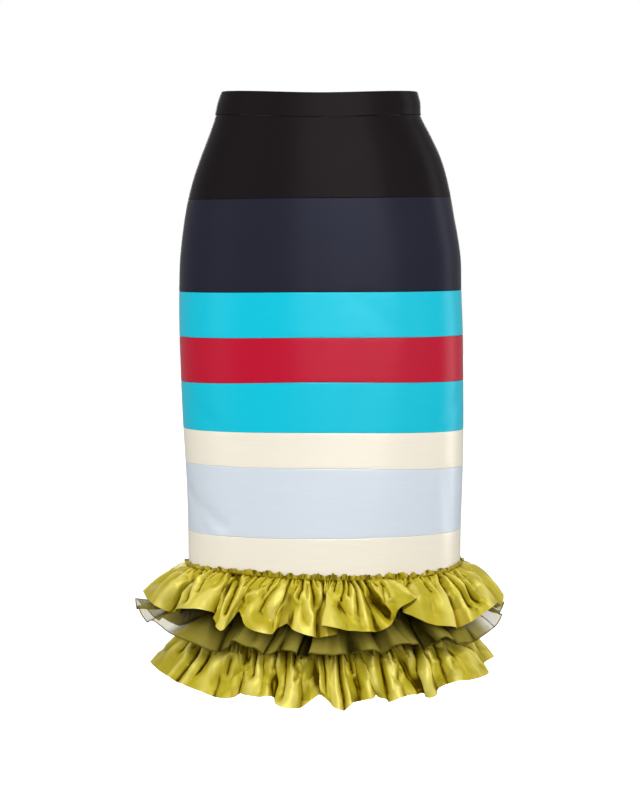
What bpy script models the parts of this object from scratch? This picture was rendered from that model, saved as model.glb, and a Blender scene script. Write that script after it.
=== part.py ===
"""Colour-blocked pencil midi skirt with three gathered ruffles at its hem, worn form, hollow.

The skirt is cut as horizontal bands sewn one under the other, each with a front and two back
panels that meet at an invisible zip in the centre back. The ruffles are strips gathered onto
the lowest band. Sizes are in millimetres, turned to metres as the meshes are made. The front
faces -Y, +Z is up, and the origin is the middle of the waist at half the waistband's height.
"""

import math

import bmesh
import bpy
from mathutils import Matrix, Vector

MM = 0.001

# Walls and gaps
CLOTH = 1.4
BAND_CLOTH = 2.4
RUFFLE_CLOTH = 1.2
SEAM_GAP = 0.3
TAPE_CLOTH = 0.8

# The skirt's plan at each height is four quarters of a rounded oval. Height at the side seam,
# then how far the cloth reaches to the left, right, front and back of the middle.
OVAL_POWER = 2.2
SECTIONS = [
    # height, left, right, front, back
    (16, 124.8, 123.5, 90, 88),
    (0, 130, 127.4, 92.5, 91),
    (-16, 133.9, 128.8, 95.5, 95),
    (-39, 141.7, 140.4, 101, 103),
    (-70, 153.4, 154.7, 108, 114),
    (-101, 163.8, 163.8, 112, 122),
    (-140, 172.9, 171.6, 115.5, 128),
    (-194, 179.6, 180.9, 117, 130),
    (-241, 181, 182.3, 117, 128),
    (-300, 180.6, 184.5, 116, 123.5),
    (-400, 177, 185.5, 114, 118),
    (-482, 172.8, 184.5, 113, 115.5),
    (-560, 170.5, 182.2, 112, 113),
    (-700, 170, 181.5, 111, 112),
]

# Each seam runs round the skirt at these heights. The worn waist dips a little in front.
SEAMS = [
    # name, left, front, right, back
    ("waist_top", 14.5, 10, 14.5, 17),
    ("waist_seam", -15.5, -21, -15.5, -13),
    ("black_navy", -124.3, -122.4, -120.5, -122),
    ("navy_turquoise", -242, -240, -240, -241),
    ("turquoise_red", -299.5, -297, -297.6, -299),
    ("red_turquoise", -357.5, -353, -355.8, -356),
    ("turquoise_cream", -417.6, -416.8, -419.5, -418),
    ("cream_blue", -461.5, -461.7, -466.7, -464),
    ("blue_cream", -550.3, -551, -549.1, -549),
    ("hem", -690, -690, -690, -690),
]

# The bands from the waist down, the rows of facets in each, and each band's colour.
BANDS = [
    # name, rows, colour
    ("waistband", 1, "black"),
    ("band_black", 4, "black"),
    ("band_navy", 3, "navy"),
    ("band_turquoise_upper", 1, "turquoise"),
    ("band_red", 1, "red"),
    ("band_turquoise_lower", 1, "turquoise"),
    ("band_cream_upper", 1, "cream"),
    ("band_pale_blue", 1, "pale_blue"),
    ("band_cream_lower", 2, "cream"),
]

# Panels of a band by the angle round the skirt: 0 is the centre front, 90 the right side seam.
PANELS = [
    # name, first angle, last angle, facets round
    ("front", -90, 90, 20),
    ("back_right", 90, 180, 10),
    ("back_left", 180, 270, 10),
]

# Colours as they look in daylight, red, green and blue out of 255, with each one's roughness.
COLOURS = {
    # name: red, green, blue, roughness, metallic
    "black": (38, 33, 33, 0.45, 0),
    "navy": (48, 48, 60, 0.45, 0),
    "turquoise": (20, 200, 226, 0.45, 0),
    "red": (198, 34, 62, 0.45, 0),
    "cream": (243, 237, 224, 0.45, 0),
    "pale_blue": (214, 223, 232, 0.45, 0),
    "chartreuse": (196, 182, 62, 0.4, 0),
    "olive": (122, 114, 52, 0.5, 0),
    "zip_black": (30, 28, 29, 0.35, 0.6),
}

# Folds of each ruffle's hem across the front, left to right: where the hem's point lies by its
# angle round the skirt, how far it stands out from the skirt, and its height. An angle that
# goes back makes a fold that laps over its neighbour. The back has the same folds half a turn on.
TOP_FOLDS = [
    # angle, out, height
    (-90, 60, -633),
    (-82, 56, -638),
    (-76, 50, -645),
    (-73, 42, -649),
    (-70, 33, -652),
    (-67.5, 48, -644),
    (-64, 58, -639),
    (-59, 62, -636),
    (-55.5, 54, -638),
    (-53.5, 32, -646),
    (-51.5, 44, -659),
    (-49, 45, -664),
    (-46.5, 33, -655),
    (-44.5, 24, -642),
    (-41.5, 33, -647),
    (-39, 40, -657),
    (-32, 46, -664),
    (-25.5, 43, -665),
    (-23, 31, -659),
    (-19.5, 25, -655),
    (-16, 33, -660),
    (-11.5, 42, -664),
    (-4, 44, -668),
    (6, 32, -669),
    (11, 27, -667),
    (7, 37, -660),
    (2, 43, -655),
    (12.5, 50, -658),
    (21.5, 50, -661),
    (30, 48, -662),
    (36, 45, -658),
    (38.5, 44, -651),
    (39.5, 48, -637),
    (43, 58, -624),
    (46, 63, -618),
    (46, 50, -628),
    (43, 35, -640),
    (46.5, 39, -645),
    (51, 44, -652),
    (56, 46, -658),
    (61, 44, -662),
    (65, 41, -667),
    (68.5, 38, -664),
    (72.5, 44, -656),
    (77, 53, -645),
    (83, 59, -640),
    (90, 61, -641),
]
MIDDLE_FOLDS = [
    # angle, out, height
    (-90, 70, -643),
    (-81, 66, -657),
    (-74, 60, -663),
    (-66.5, 51, -677),
    (-61, 46, -683),
    (-55.5, 41, -690),
    (-51, 33, -692),
    (-47.5, 24, -686),
    (-45, 35, -678),
    (-40.5, 38, -682),
    (-33.5, 40, -687),
    (-29, 37, -692),
    (-26.5, 32, -692),
    (-24, 23, -689),
    (-21.5, 34, -686),
    (-18, 38, -687),
    (-14, 36, -691),
    (-11, 27, -695),
    (-8.5, 26, -695),
    (-5.5, 34, -692),
    (4, 40, -692),
    (13, 37, -692),
    (18, 28, -692),
    (23.5, 26, -690),
    (30, 36, -688),
    (35, 38, -688),
    (39, 30, -686),
    (42.5, 34, -682),
    (47.5, 43, -680),
    (52.5, 34, -688),
    (58, 28, -685),
    (60, 39, -676),
    (63.5, 43, -681),
    (68, 37, -687),
    (72, 38, -688),
    (77, 46, -679),
    (83, 53, -669),
    (90, 53, -661),
]
BOTTOM_FOLDS = [
    # angle, out, height
    (-90, 50, -724),
    (-82, 46, -728),
    (-75, 43, -732),
    (-69, 40, -738),
    (-61, 38, -744),
    (-54, 34, -750),
    (-49, 30, -752),
    (-47, 22, -752),
    (-45, 16, -748),
    (-40, 27, -748),
    (-34, 32, -747),
    (-30, 28, -747),
    (-27.5, 18, -750),
    (-25, 31, -756),
    (-22, 38, -759),
    (-17, 36, -761),
    (-11, 28, -760),
    (-5, 17, -752),
    (0, 13, -747),
    (4, 20, -750),
    (8.5, 32, -760),
    (13.5, 36, -762),
    (17, 32, -759),
    (20, 27, -754),
    (25, 26, -751),
    (30, 25, -751),
    (33.5, 13, -748),
    (37, 25, -755),
    (42, 28, -752),
    (47, 26, -748),
    (51, 23, -748),
    (53.5, 15, -750),
    (55.5, 30, -753),
    (58, 33, -750),
    (60.5, 23, -744),
    (63, 30, -738),
    (66, 35, -735),
    (70, 40, -735),
    (74.5, 44, -734),
    (79.5, 45, -731),
    (82, 34, -724),
    (90, 44, -720),
]

# The ruffles from the top down: the height of the stitching that holds each one, its spring
# (the share of its reach that the stiff cloth goes out before it falls), both at the left,
# front, right and back, and the height of the frill above the stitching.
RUFFLES = [
    # name, colour, folds, stitching, spring, frill
    ("ruffle_top", "chartreuse", TOP_FOLDS, (-596.5, -600, -594, -597), (0.8, 0.5, 0.68, 0.5), 6.5),
    ("ruffle_middle", "olive", MIDDLE_FOLDS, (-645, -642, -642, -645), (0.55, 0.35, 0.5, 0.35), 0),
    ("ruffle_bottom", "chartreuse", BOTTOM_FOLDS, (-684, -684, -684, -684), (0.6, 0.3, 0.6, 0.3), 0),
]
COLUMN_STEP = 12
RUFFLE_ROWS = 4
GATHER_DEPTH = 1.1
FRILL_OUT = 1.6

# Invisible zip in the centre back: the tape inside, and the slider and its pull at the waist.
# The tape is this share of a panel's facet wide on each side, about 13 mm.
TAPE_SHARE = 0.65
# The slider stands this share of the way down the waistband.
SLIDER_PLACE = 0.42
SLIDER_GAP = 0.45
SLIDER_HALF_WIDTH = 3.6
SLIDER_HALF_LENGTH = 5
SLIDER_THICK = 0.9
EAR_THICK = 1.0
EAR_HALF_LENGTH = 1.7
EAR_RIM = 0.6
PIN_OUT = 3.4
PIN_RADIUS = 0.7
EYE_RADIUS = 1.6
EYE_HOLE = 1.0
EYE_HALF_WIDTH = 2.2
EYE_WALL = 0.2
PULL_NECK_HALF_WIDTH = 1.9
PULL_LENGTH = 19
PULL_END_HALF_WIDTH = 3.4
PULL_CORNER = 1.6
PULL_THICK = 1.1


def clear_scene():
    """Starts from an empty scene."""
    for thing in list(bpy.data.objects):
        bpy.data.objects.remove(thing)


def linear(value):
    """One colour channel out of 255 as the linear value that a shader takes."""
    share = value / 255
    return share / 12.92 if share <= 0.04045 else ((share + 0.055) / 1.055) ** 2.4


def make_materials():
    """One Principled material for each colour of cloth, and one for the zip."""
    made = {}
    for name, (red, green, blue, roughness, metallic) in COLOURS.items():
        material = bpy.data.materials.new(name)
        material.use_nodes = True
        shader = material.node_tree.nodes["Principled BSDF"]
        shader.inputs["Base Color"].default_value = (linear(red), linear(green), linear(blue), 1)
        shader.inputs["Roughness"].default_value = roughness
        shader.inputs["Metallic"].default_value = metallic
        made[name] = material
    return made


def reach_at(height):
    """How far the skirt reaches left, right, front and back at a height, smooth between sections."""
    rows = SECTIONS
    height = max(min(height, rows[0][0]), rows[-1][0])
    last = len(rows) - 1
    k = next(i for i in range(last) if height >= rows[i + 1][0])
    span = rows[k][0] - rows[k + 1][0]
    t = (rows[k][0] - height) / span
    found = []
    for column in range(1, 5):
        slopes = []
        for i in (k, k + 1):
            above, below = max(i - 1, 0), min(i + 1, last)
            rise = rows[below][column] - rows[above][column]
            slopes.append(rise / (rows[above][0] - rows[below][0]) * span)
        start, end = rows[k][column], rows[k + 1][column]
        found.append(
            (2 * t**3 - 3 * t**2 + 1) * start
            + (t**3 - 2 * t**2 + t) * slopes[0]
            + (3 * t**2 - 2 * t**3) * end
            + (t**3 - t**2) * slopes[1]
        )
    return found


def oval_point(angle, height, out=0.0):
    """A point round the skirt, by its angle in degrees from the centre front, and how far it
    stands out from the middle of the cloth."""
    left, right, front, back = reach_at(height)
    side, ahead = math.sin(math.radians(angle)), math.cos(math.radians(angle))
    across = right if side >= 0 else left
    deep = front if ahead >= 0 else back
    power = OVAL_POWER
    radius = ((abs(side) / across) ** power + (abs(ahead) / deep) ** power) ** (-1 / power)
    x, y = radius * side, -radius * ahead
    slope_x = math.copysign((abs(x) / across) ** (power - 1) / across, x)
    slope_y = math.copysign((abs(y) / deep) ** (power - 1) / deep, y)
    steep = math.hypot(slope_x, slope_y)
    return Vector((x + out * slope_x / steep, y + out * slope_y / steep, height))


def round_value(angle, left, front, right, back):
    """A value that is given at the left, front, right and back, smooth in between."""
    side, ahead = math.sin(math.radians(angle)), math.cos(math.radians(angle))
    return (right if side >= 0 else left) * side**2 + (front if ahead >= 0 else back) * ahead**2


def seam_height(seam, angle):
    """The height of a named seam at an angle round the skirt."""
    heights = next(row[1:] for row in SEAMS if row[0] == seam)
    return round_value(angle, *heights)


def grid_normals(grid, closed=False):
    """The direction that the outside of each point of a grid of rows faces. A closed grid's
    last column is its first one again."""
    rows, columns = len(grid), len(grid[0])
    normals = []
    for i in range(rows):
        line = []
        for j in range(columns):
            if closed:
                after, before = (j + 1) % (columns - 1), (j - 1) % (columns - 1)
            else:
                after, before = min(j + 1, columns - 1), max(j - 1, 0)
            along = grid[i][after] - grid[i][before]
            down = grid[min(i + 1, rows - 1)][j] - grid[max(i - 1, 0)][j]
            line.append(down.cross(along).normalized())
        normals.append(line)
    return normals


def wall_from_grid(name, grid, normals, thick, material):
    """A closed cloth wall round a grid of middle points, whose rows run top to bottom and whose
    columns run from left to right seen from outside."""
    rows, columns = len(grid), len(grid[0])
    bm = bmesh.new()
    outside, inside = [], []
    for i in range(rows):
        outside.append([])
        inside.append([])
        for j in range(columns):
            shift = normals[i][j] * thick / 2
            outside[i].append(bm.verts.new((grid[i][j] + shift) * MM))
            inside[i].append(bm.verts.new((grid[i][j] - shift) * MM))
    for i in range(rows - 1):
        for j in range(columns - 1):
            a, b = outside[i][j], outside[i][j + 1]
            c, d = outside[i + 1][j + 1], outside[i + 1][j]
            bm.faces.new((a, d, c, b))
            a, b = inside[i][j], inside[i][j + 1]
            c, d = inside[i + 1][j + 1], inside[i + 1][j]
            bm.faces.new((a, b, c, d))
    for j in range(columns - 1):
        bm.faces.new((outside[0][j], outside[0][j + 1], inside[0][j + 1], inside[0][j]))
        bm.faces.new((outside[-1][j + 1], outside[-1][j], inside[-1][j], inside[-1][j + 1]))
    for i in range(rows - 1):
        bm.faces.new((outside[i + 1][0], outside[i][0], inside[i][0], inside[i + 1][0]))
        bm.faces.new((outside[i][-1], outside[i + 1][-1], inside[i + 1][-1], inside[i][-1]))
    return finish_mesh(name, bm, material)


def finish_mesh(name, bm, material):
    """Turns a bmesh into a named object with its material, shaded smooth but for its edges."""
    bmesh.ops.recalc_face_normals(bm, faces=bm.faces)
    mesh = bpy.data.meshes.new(name)
    bm.to_mesh(mesh)
    bm.free()
    mesh.materials.append(material)
    mesh.shade_smooth()
    mesh.set_sharp_from_angle(angle=math.radians(50))
    made = bpy.data.objects.new(name, mesh)
    bpy.context.scene.collection.objects.link(made)
    return made


def trim_sides(grid, gap):
    """Draws the first and last column of a grid in along the cloth, to leave a gap at the seam."""
    for line in grid:
        first = (line[1] - line[0]).normalized() * gap
        last = (line[-2] - line[-1]).normalized() * gap
        line[0] = line[0] + first
        line[-1] = line[-1] + last


def make_band_panel(band, rows, upper, lower, panel, material):
    """One panel of one band, between two seams and two side edges."""
    panel_name, first, last, facets = panel
    is_waistband = band == "waistband"
    thick = BAND_CLOTH if is_waistband else CLOTH
    out = (BAND_CLOTH - CLOTH) / 2 if is_waistband else 0.0
    grid = []
    for i in range(rows + 1):
        line = []
        for j in range(facets + 1):
            angle = first + (last - first) * j / facets
            top = seam_height(upper, angle) - (SEAM_GAP / 2 if upper != "waist_top" else 0)
            bottom = seam_height(lower, angle) + (SEAM_GAP / 2 if lower != "hem" else 0)
            line.append(oval_point(angle, top + (bottom - top) * i / rows, out))
        grid.append(line)
    trim_sides(grid, SEAM_GAP / 2)
    return wall_from_grid(f"{band}_{panel_name}", grid, grid_normals(grid), thick, material)


def make_bands(materials):
    """Every panel of the waistband and the colour bands."""
    for (band, rows, colour), upper, lower in zip(BANDS, SEAMS, SEAMS[1:]):
        for panel in PANELS:
            make_band_panel(band, rows, upper[0], lower[0], panel, materials[colour])


def hem_points(folds):
    """The hem's points all the way round, from the left seam: the folds of the front, then the
    same ones half a turn on for the back, and the first again to close the line."""
    front = list(folds)
    back = [(angle + 180, out, height) for angle, out, height in folds[1:-1]]
    closed = front + back + [(folds[0][0] + 360, folds[0][1], folds[0][2])]
    return [oval_point(angle, height, out) for angle, out, height in closed]


def curve_between(before, start, end, after, t):
    """A smooth curve through a row of points, at a share t of the way from start to end."""
    gaps = [max((b - a).length, 1.0) ** 0.5 for a, b in ((before, start), (start, end), (end, after))]
    first = (start - before) / gaps[0] - (end - before) / (gaps[0] + gaps[1]) + (end - start) / gaps[1]
    last = (end - start) / gaps[1] - (after - start) / (gaps[1] + gaps[2]) + (after - end) / gaps[2]
    leave, arrive = first * gaps[1], last * gaps[1]
    return (
        start * (2 * t**3 - 3 * t**2 + 1)
        + leave * (t**3 - 2 * t**2 + t)
        + end * (3 * t**2 - 2 * t**3)
        + arrive * (t**3 - t**2)
    )


def hem_line(folds, step):
    """Points along the hem, about a step apart, and the index of the right side seam."""
    points = hem_points(folds)
    count = len(points) - 1
    line = []
    seam_index = 0
    for k in range(count):
        if k == len(folds) - 1:
            seam_index = len(line)
        corner = [points[(k - 1) % count], points[k], points[k + 1], points[(k + 2) % count]]
        parts = max(1, round((points[k + 1] - points[k]).length / step))
        line += [curve_between(*corner, part / parts) for part in range(parts)]
    line.append(points[-1])
    return line, seam_index


def gather_angles(line, seam_index):
    """The angle round the stitching that each point of the hem is gathered to: each half of the
    strip is shared out evenly by its length."""
    lengths = [0.0]
    for a, b in zip(line, line[1:]):
        lengths.append(lengths[-1] + (b - a).length)
    half, whole = lengths[seam_index], lengths[-1]
    angles = []
    for length in lengths:
        if length <= half:
            angles.append(-90 + 180 * length / half)
        else:
            angles.append(90 + 180 * (length - half) / (whole - half))
    return angles


def make_ruffle(name, folds, stitch, spring, frill, material):
    """One ruffle as a front and a back strip of cloth, from its stitching to its hem."""
    line, seam_index = hem_line(folds, COLUMN_STEP)
    angles = gather_angles(line, seam_index)
    clear = CLOTH / 2 + SEAM_GAP + RUFFLE_CLOTH / 2
    columns = []
    for j, (hem, angle) in enumerate(zip(line, angles)):
        ridge = GATHER_DEPTH * (1 if j % 2 else -1)
        height = round_value(angle, *stitch)
        start = oval_point(angle, height, clear)
        lead = round_value(angle, *spring)
        knee = start.lerp(hem, lead)
        knee.z = height - (height - hem.z) * (1 - lead) ** 2
        column = []
        if frill:
            column.append(oval_point(angle, height + frill, clear + FRILL_OUT + ridge))
        for i in range(RUFFLE_ROWS + 1):
            t = i / RUFFLE_ROWS
            column.append(start * (1 - t) ** 2 + knee * 2 * t * (1 - t) + hem * t**2)
        columns.append(column)
    whole = [list(row) for row in zip(*columns)]
    whole_normals = grid_normals(whole, closed=True)
    for part, first, last in (("front", 0, seam_index), ("back", seam_index, len(line) - 1)):
        grid = [row[first : last + 1] for row in whole]
        normals = [row[first : last + 1] for row in whole_normals]
        trim_sides(grid, SEAM_GAP / 2)
        wall_from_grid(f"{name}_{part}", grid, normals, RUFFLE_CLOTH, material)


def make_ruffles(materials):
    """The three ruffles, each under the one above."""
    for name, colour, folds, stitch, spring, frill in RUFFLES:
        make_ruffle(name, folds, stitch, spring, frill, materials[colour])


def make_zip_tape(material):
    """The zip's tape inside the centre back, laid along the facets of the panels that it joins,
    from the waistband's top to part of the way down the navy band."""
    inset = -(CLOTH / 2 + SEAM_GAP + TAPE_CLOTH / 2)
    heights = []
    for (band, rows, colour), upper, lower in zip(BANDS[:3], SEAMS, SEAMS[1:]):
        heights += [(upper[0], lower[0], i / rows) for i in range(rows)]
    facet = 90 / PANELS[1][3]
    grid = []
    for upper, lower, share in heights:
        points = []
        for angle in (180 - facet, 180, 180 + facet):
            top, bottom = seam_height(upper, angle), seam_height(lower, angle)
            points.append(oval_point(angle, top + (bottom - top) * share, inset))
        left, middle, right = points
        grid.append([middle.lerp(left, TAPE_SHARE), middle, middle.lerp(right, TAPE_SHARE)])
    wall_from_grid("zip_tape", grid, grid_normals(grid), TAPE_CLOTH, material)


def add_box(bm, low, high):
    """A box between two corners, added to a bmesh."""
    size = [b - a for a, b in zip(low, high)]
    middle = [(a + b) / 2 for a, b in zip(low, high)]
    matrix = Matrix.Translation([v * MM for v in middle]) @ Matrix.Diagonal([v * MM for v in size] + [1])
    bmesh.ops.create_cube(bm, size=1, matrix=matrix)


def add_rod(bm, radius, half_length, out, sides=16):
    """A round rod along X, centred a distance out from the cloth."""
    matrix = Matrix.Translation((0, out * MM, 0)) @ Matrix.Rotation(math.radians(90), 4, "Y")
    bmesh.ops.create_cone(
        bm,
        cap_ends=True,
        segments=sides,
        radius1=radius * MM,
        radius2=radius * MM,
        depth=2 * half_length * MM,
        matrix=matrix,
    )


def piece_from(name, fill, material):
    """An object whose mesh a function fills."""
    bm = bmesh.new()
    fill(bm)
    return finish_mesh(name, bm, material)


def cut_or_join(target, tool, operation):
    """Joins a tool's shape to the target or cuts it away, and removes the tool."""
    modifier = target.modifiers.new(operation, "BOOLEAN")
    modifier.operation = operation
    modifier.object = tool
    modifier.solver = "EXACT"
    graph = bpy.context.evaluated_depsgraph_get()
    shape = bpy.data.meshes.new_from_object(target.evaluated_get(graph))
    target.modifiers.clear()
    target.data = shape
    bpy.data.objects.remove(tool)


def waist_matrix():
    """Places the slider's own frame on the waistband at the centre back: X across, Y out from
    the cloth and Z up along it."""
    above = oval_point(180, seam_height("waist_top", 180))
    below = oval_point(180, seam_height("waist_seam", 180))
    lean = math.atan2(below.y - above.y, above.z - below.z)
    normal = Vector((0, math.cos(lean), math.sin(lean)))
    place = above.lerp(below, SLIDER_PLACE) + normal * (BAND_CLOTH - CLOTH / 2)
    return Matrix.Translation(place * MM) @ Matrix.Rotation(lean, 4, "X")


def make_slider(material, place):
    """The slider: a small plate on the cloth with two ears and the pin that the pull hangs on."""
    ear_inner = SLIDER_HALF_WIDTH - EAR_THICK
    low = SLIDER_GAP
    plate = piece_from(
        "zip_slider",
        lambda bm: add_box(
            bm,
            (-SLIDER_HALF_WIDTH, low, -SLIDER_HALF_LENGTH),
            (SLIDER_HALF_WIDTH, low + SLIDER_THICK, SLIDER_HALF_LENGTH),
        ),
        material,
    )
    for side in (-1, 1):
        inner, outer = sorted((side * ear_inner, side * SLIDER_HALF_WIDTH))
        ear = piece_from(
            "ear",
            lambda bm: add_box(
                bm,
                (inner, low + SLIDER_THICK / 2, -EAR_HALF_LENGTH),
                (outer, PIN_OUT + PIN_RADIUS + EAR_RIM, EAR_HALF_LENGTH),
            ),
            material,
        )
        cut_or_join(plate, ear, "UNION")
    reach = SLIDER_HALF_WIDTH - EAR_THICK / 2
    pin = piece_from("pin", lambda bm: add_rod(bm, PIN_RADIUS, reach, PIN_OUT), material)
    cut_or_join(plate, pin, "UNION")
    plate.matrix_world = place
    return plate


def make_pull(material, place):
    """The pull: a flat tab, wider at its end, on an eye that turns on the slider's pin. Its
    origin is on the pin's axis."""
    tab = piece_from("zip_pull", lambda bm: add_rod(bm, EYE_RADIUS, EYE_HALF_WIDTH, 0, 20), material)

    def fill_plate(bm):
        add_box(
            bm,
            (-PULL_NECK_HALF_WIDTH, -PULL_THICK / 2, -PULL_LENGTH),
            (PULL_NECK_HALF_WIDTH, PULL_THICK / 2, -EYE_HOLE - EYE_WALL),
        )
        wide = PULL_END_HALF_WIDTH / PULL_NECK_HALF_WIDTH
        for vert in bm.verts:
            if vert.co.z < -PULL_LENGTH * MM / 2:
                vert.co.x *= wide
        ends = [e for e in bm.edges if all(v.co.z < -PULL_LENGTH * MM / 2 for v in e.verts)]
        corners = [e for e in ends if e.verts[0].co.x * e.verts[1].co.x > 0]
        bmesh.ops.bevel(bm, geom=corners, offset=PULL_CORNER * MM, segments=3, affect="EDGES")

    cut_or_join(tab, piece_from("plate", fill_plate, material), "UNION")
    hole = piece_from("hole", lambda bm: add_rod(bm, EYE_HOLE, EYE_HALF_WIDTH * 2, 0, 20), material)
    cut_or_join(tab, hole, "DIFFERENCE")
    tab.matrix_world = place @ Matrix.Translation((0, PIN_OUT * MM, 0))
    return tab


def main():
    """Builds the whole skirt."""
    clear_scene()
    materials = make_materials()
    make_bands(materials)
    make_ruffles(materials)
    make_zip_tape(materials["black"])
    place = waist_matrix()
    make_slider(materials["zip_black"], place)
    make_pull(materials["zip_black"], place)


main()
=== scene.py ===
import math
import random
from collections import namedtuple

import bmesh
import bpy
import numpy as np
from mathutils import Matrix, Vector, noise


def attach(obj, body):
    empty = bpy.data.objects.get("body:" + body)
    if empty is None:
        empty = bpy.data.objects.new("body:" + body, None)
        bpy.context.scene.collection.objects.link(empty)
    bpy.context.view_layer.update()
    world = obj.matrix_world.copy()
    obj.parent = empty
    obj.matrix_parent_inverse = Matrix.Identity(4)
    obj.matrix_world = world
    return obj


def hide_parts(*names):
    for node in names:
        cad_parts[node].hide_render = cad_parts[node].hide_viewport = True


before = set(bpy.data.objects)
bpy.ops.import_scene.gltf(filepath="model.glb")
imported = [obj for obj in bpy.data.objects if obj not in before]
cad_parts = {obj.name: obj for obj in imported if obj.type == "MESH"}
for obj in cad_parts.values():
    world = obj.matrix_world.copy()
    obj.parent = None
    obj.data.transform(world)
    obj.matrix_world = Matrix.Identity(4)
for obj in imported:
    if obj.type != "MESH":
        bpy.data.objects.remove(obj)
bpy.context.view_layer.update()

# Looks of a colour-blocked midi skirt in worn form: satin bands, a taffeta, an organza and
# another taffeta ruffle, and the invisible zip. Sizes are in millimetres, as in the skirt's
# construction, and are turned to metres as each mesh is made.
MM = 0.001

# Walls of the solids that the cloth here stands for, and the real cloth's own thickness.
CLOTH = 1.4
WAISTBAND_CLOTH = 2.4
RUFFLE_CLOTH = 1.2
SEAM_GAP = 0.3
TAPE_CLOTH = 0.8
SATIN_THICK = 0.7
PANEL_GAP = 0.02
CLOTH_SHARP_ANGLE = 60

# The skirt's plan at each height is four quarters of a rounded oval.
OVAL_POWER = 2.2
SECTIONS = [
    # height, left, right, front, back
    (16, 124.8, 123.5, 90, 88),
    (0, 130, 127.4, 92.5, 91),
    (-16, 133.9, 128.8, 95.5, 95),
    (-39, 141.7, 140.4, 101, 103),
    (-70, 153.4, 154.7, 108, 114),
    (-101, 163.8, 163.8, 112, 122),
    (-140, 172.9, 171.6, 115.5, 128),
    (-194, 179.6, 180.9, 117, 130),
    (-241, 181, 182.3, 117, 128),
    (-300, 180.6, 184.5, 116, 123.5),
    (-400, 177, 185.5, 114, 118),
    (-482, 172.8, 184.5, 113, 115.5),
    (-560, 170.5, 182.2, 112, 113),
    (-700, 170, 181.5, 111, 112),
]

# Each seam runs round the skirt at these heights.
SEAMS = [
    # name, left, front, right, back
    ("waist_top", 14.5, 10, 14.5, 17),
    ("waist_seam", -15.5, -21, -15.5, -13),
    ("black_navy", -124.3, -122.4, -120.5, -122),
    ("navy_turquoise", -242, -240, -240, -241),
    ("turquoise_red", -299.5, -297, -297.6, -299),
    ("red_turquoise", -357.5, -353, -355.8, -356),
    ("turquoise_cream", -417.6, -416.8, -419.5, -418),
    ("cream_blue", -461.5, -461.7, -466.7, -464),
    ("blue_cream", -550.3, -551, -549.1, -549),
    ("hem", -690, -690, -690, -690),
]
BANDS = [
    # name, colour
    ("waistband", "black"),
    ("band_black", "black"),
    ("band_navy", "navy"),
    ("band_turquoise_upper", "turquoise"),
    ("band_red", "red"),
    ("band_turquoise_lower", "turquoise"),
    ("band_cream_upper", "cream"),
    ("band_pale_blue", "pale_blue"),
    ("band_cream_lower", "cream"),
]
CENTRE_BACK = 180
PANELS = [
    # name, first angle, last angle
    ("front", -90, 90),
    ("back_right", 90, CENTRE_BACK),
    ("back_left", CENTRE_BACK, 270),
]

# Each panel's wall, its cloth's thickness and the roll of its edges. Its columns, by the angle
# from its side, and its rows, by the distance from its seam, are close together at the edges.
WAISTBAND_WALL = (WAISTBAND_CLOTH, WAISTBAND_CLOTH, 1.0)
BAND_WALL = (CLOTH, SATIN_THICK, 0.6)
NEAR_SIDE = np.array([0, 0.06, 0.16, 0.32, 0.6])
NEAR_SEAM = [0, 0.15, 0.4, 0.8, 1.5, 3, 6, 11]
COLUMNS_A_DEGREE = 0.75
ROW_HEIGHT = 7
LEAST_ROWS = 3

# How the satin stands out: the waistband fuller between its seams, by its depth, how soon it is
# reached and its power, and the bands in a ridge by each seam, by its depth, place and width.
WAISTBAND_FULL = (0.3, 14, 0.7)
SEAM_RIDGE = (0.1, 5, 4)
# Puckers along the seams: their depth, how far they reach and where they are full, and then the
# share, size and row of noise of each kind.
PUCKER_SHAPE = (0.3, 5, 1.5)
PUCKERS = [(1, 7, 1.5), (0.6, 16, 7.5)]
# Slow waves, by their size across and down and their depth.
SATIN_WAVES = (55, 150, 0.9)

# The zip's tape ends part of the way down the third band. Its slider and pull are measured in
# their own frame on the waistband.
TAPE_ROWS = (1, 4, 3)
TAPE_HALF_WIDTH = 9
TAPE_TURN = 9
TAPE_COLUMNS = 13
COIL_PITCH = 1.3
COIL_WIRE = 0.22
COIL_STEPS = 7
COIL_ASIDE = 0.55
COIL_INSIDE = 0.85
COIL_REACH = (0.95, 0.6)
SLIDER_PLACE = 0.42
SLIDER_GAP = 0.45
SLIDER_HALF_WIDTH = 3.6
SLIDER_HALF_LENGTH = 5
SLIDER_THICK = 0.9
SLIDER_CORNER = 1.3
SLIDER_EDGE = 0.18
EAR_THICK = 1.0
EAR_HALF_LENGTH = 1.7
EAR_RIM = 0.6
EAR_CORNER = 1.1
PIN_OUT = 3.4
PIN_RADIUS = 0.7
ROD_SIDES = 32
EYE_RADIUS = 1.6
EYE_HOLE = 1.0
EYE_HALF_WIDTH = 2.2
EYE_WALL = 0.2
PULL_NECK_HALF_WIDTH = 1.9
PULL_LENGTH = 19
PULL_END_HALF_WIDTH = 3.4
PULL_CORNER = 1.6
PULL_THICK = 1.1
PULL_EDGE = 0.16
SUNK_HALF_WIDTH = 1.3
SUNK_MARGIN = 1.4
SUNK_WIDER = 1.4
SUNK_DEPTH = 0.2
SUNK_CORNER = 0.8

# Metal edges that turn by more than this are rounded, and those that turn by more than the next
# are shaded as edges.
ROUNDED_TURN = math.radians(40)
EDGE_TURN = math.radians(50)

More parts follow.
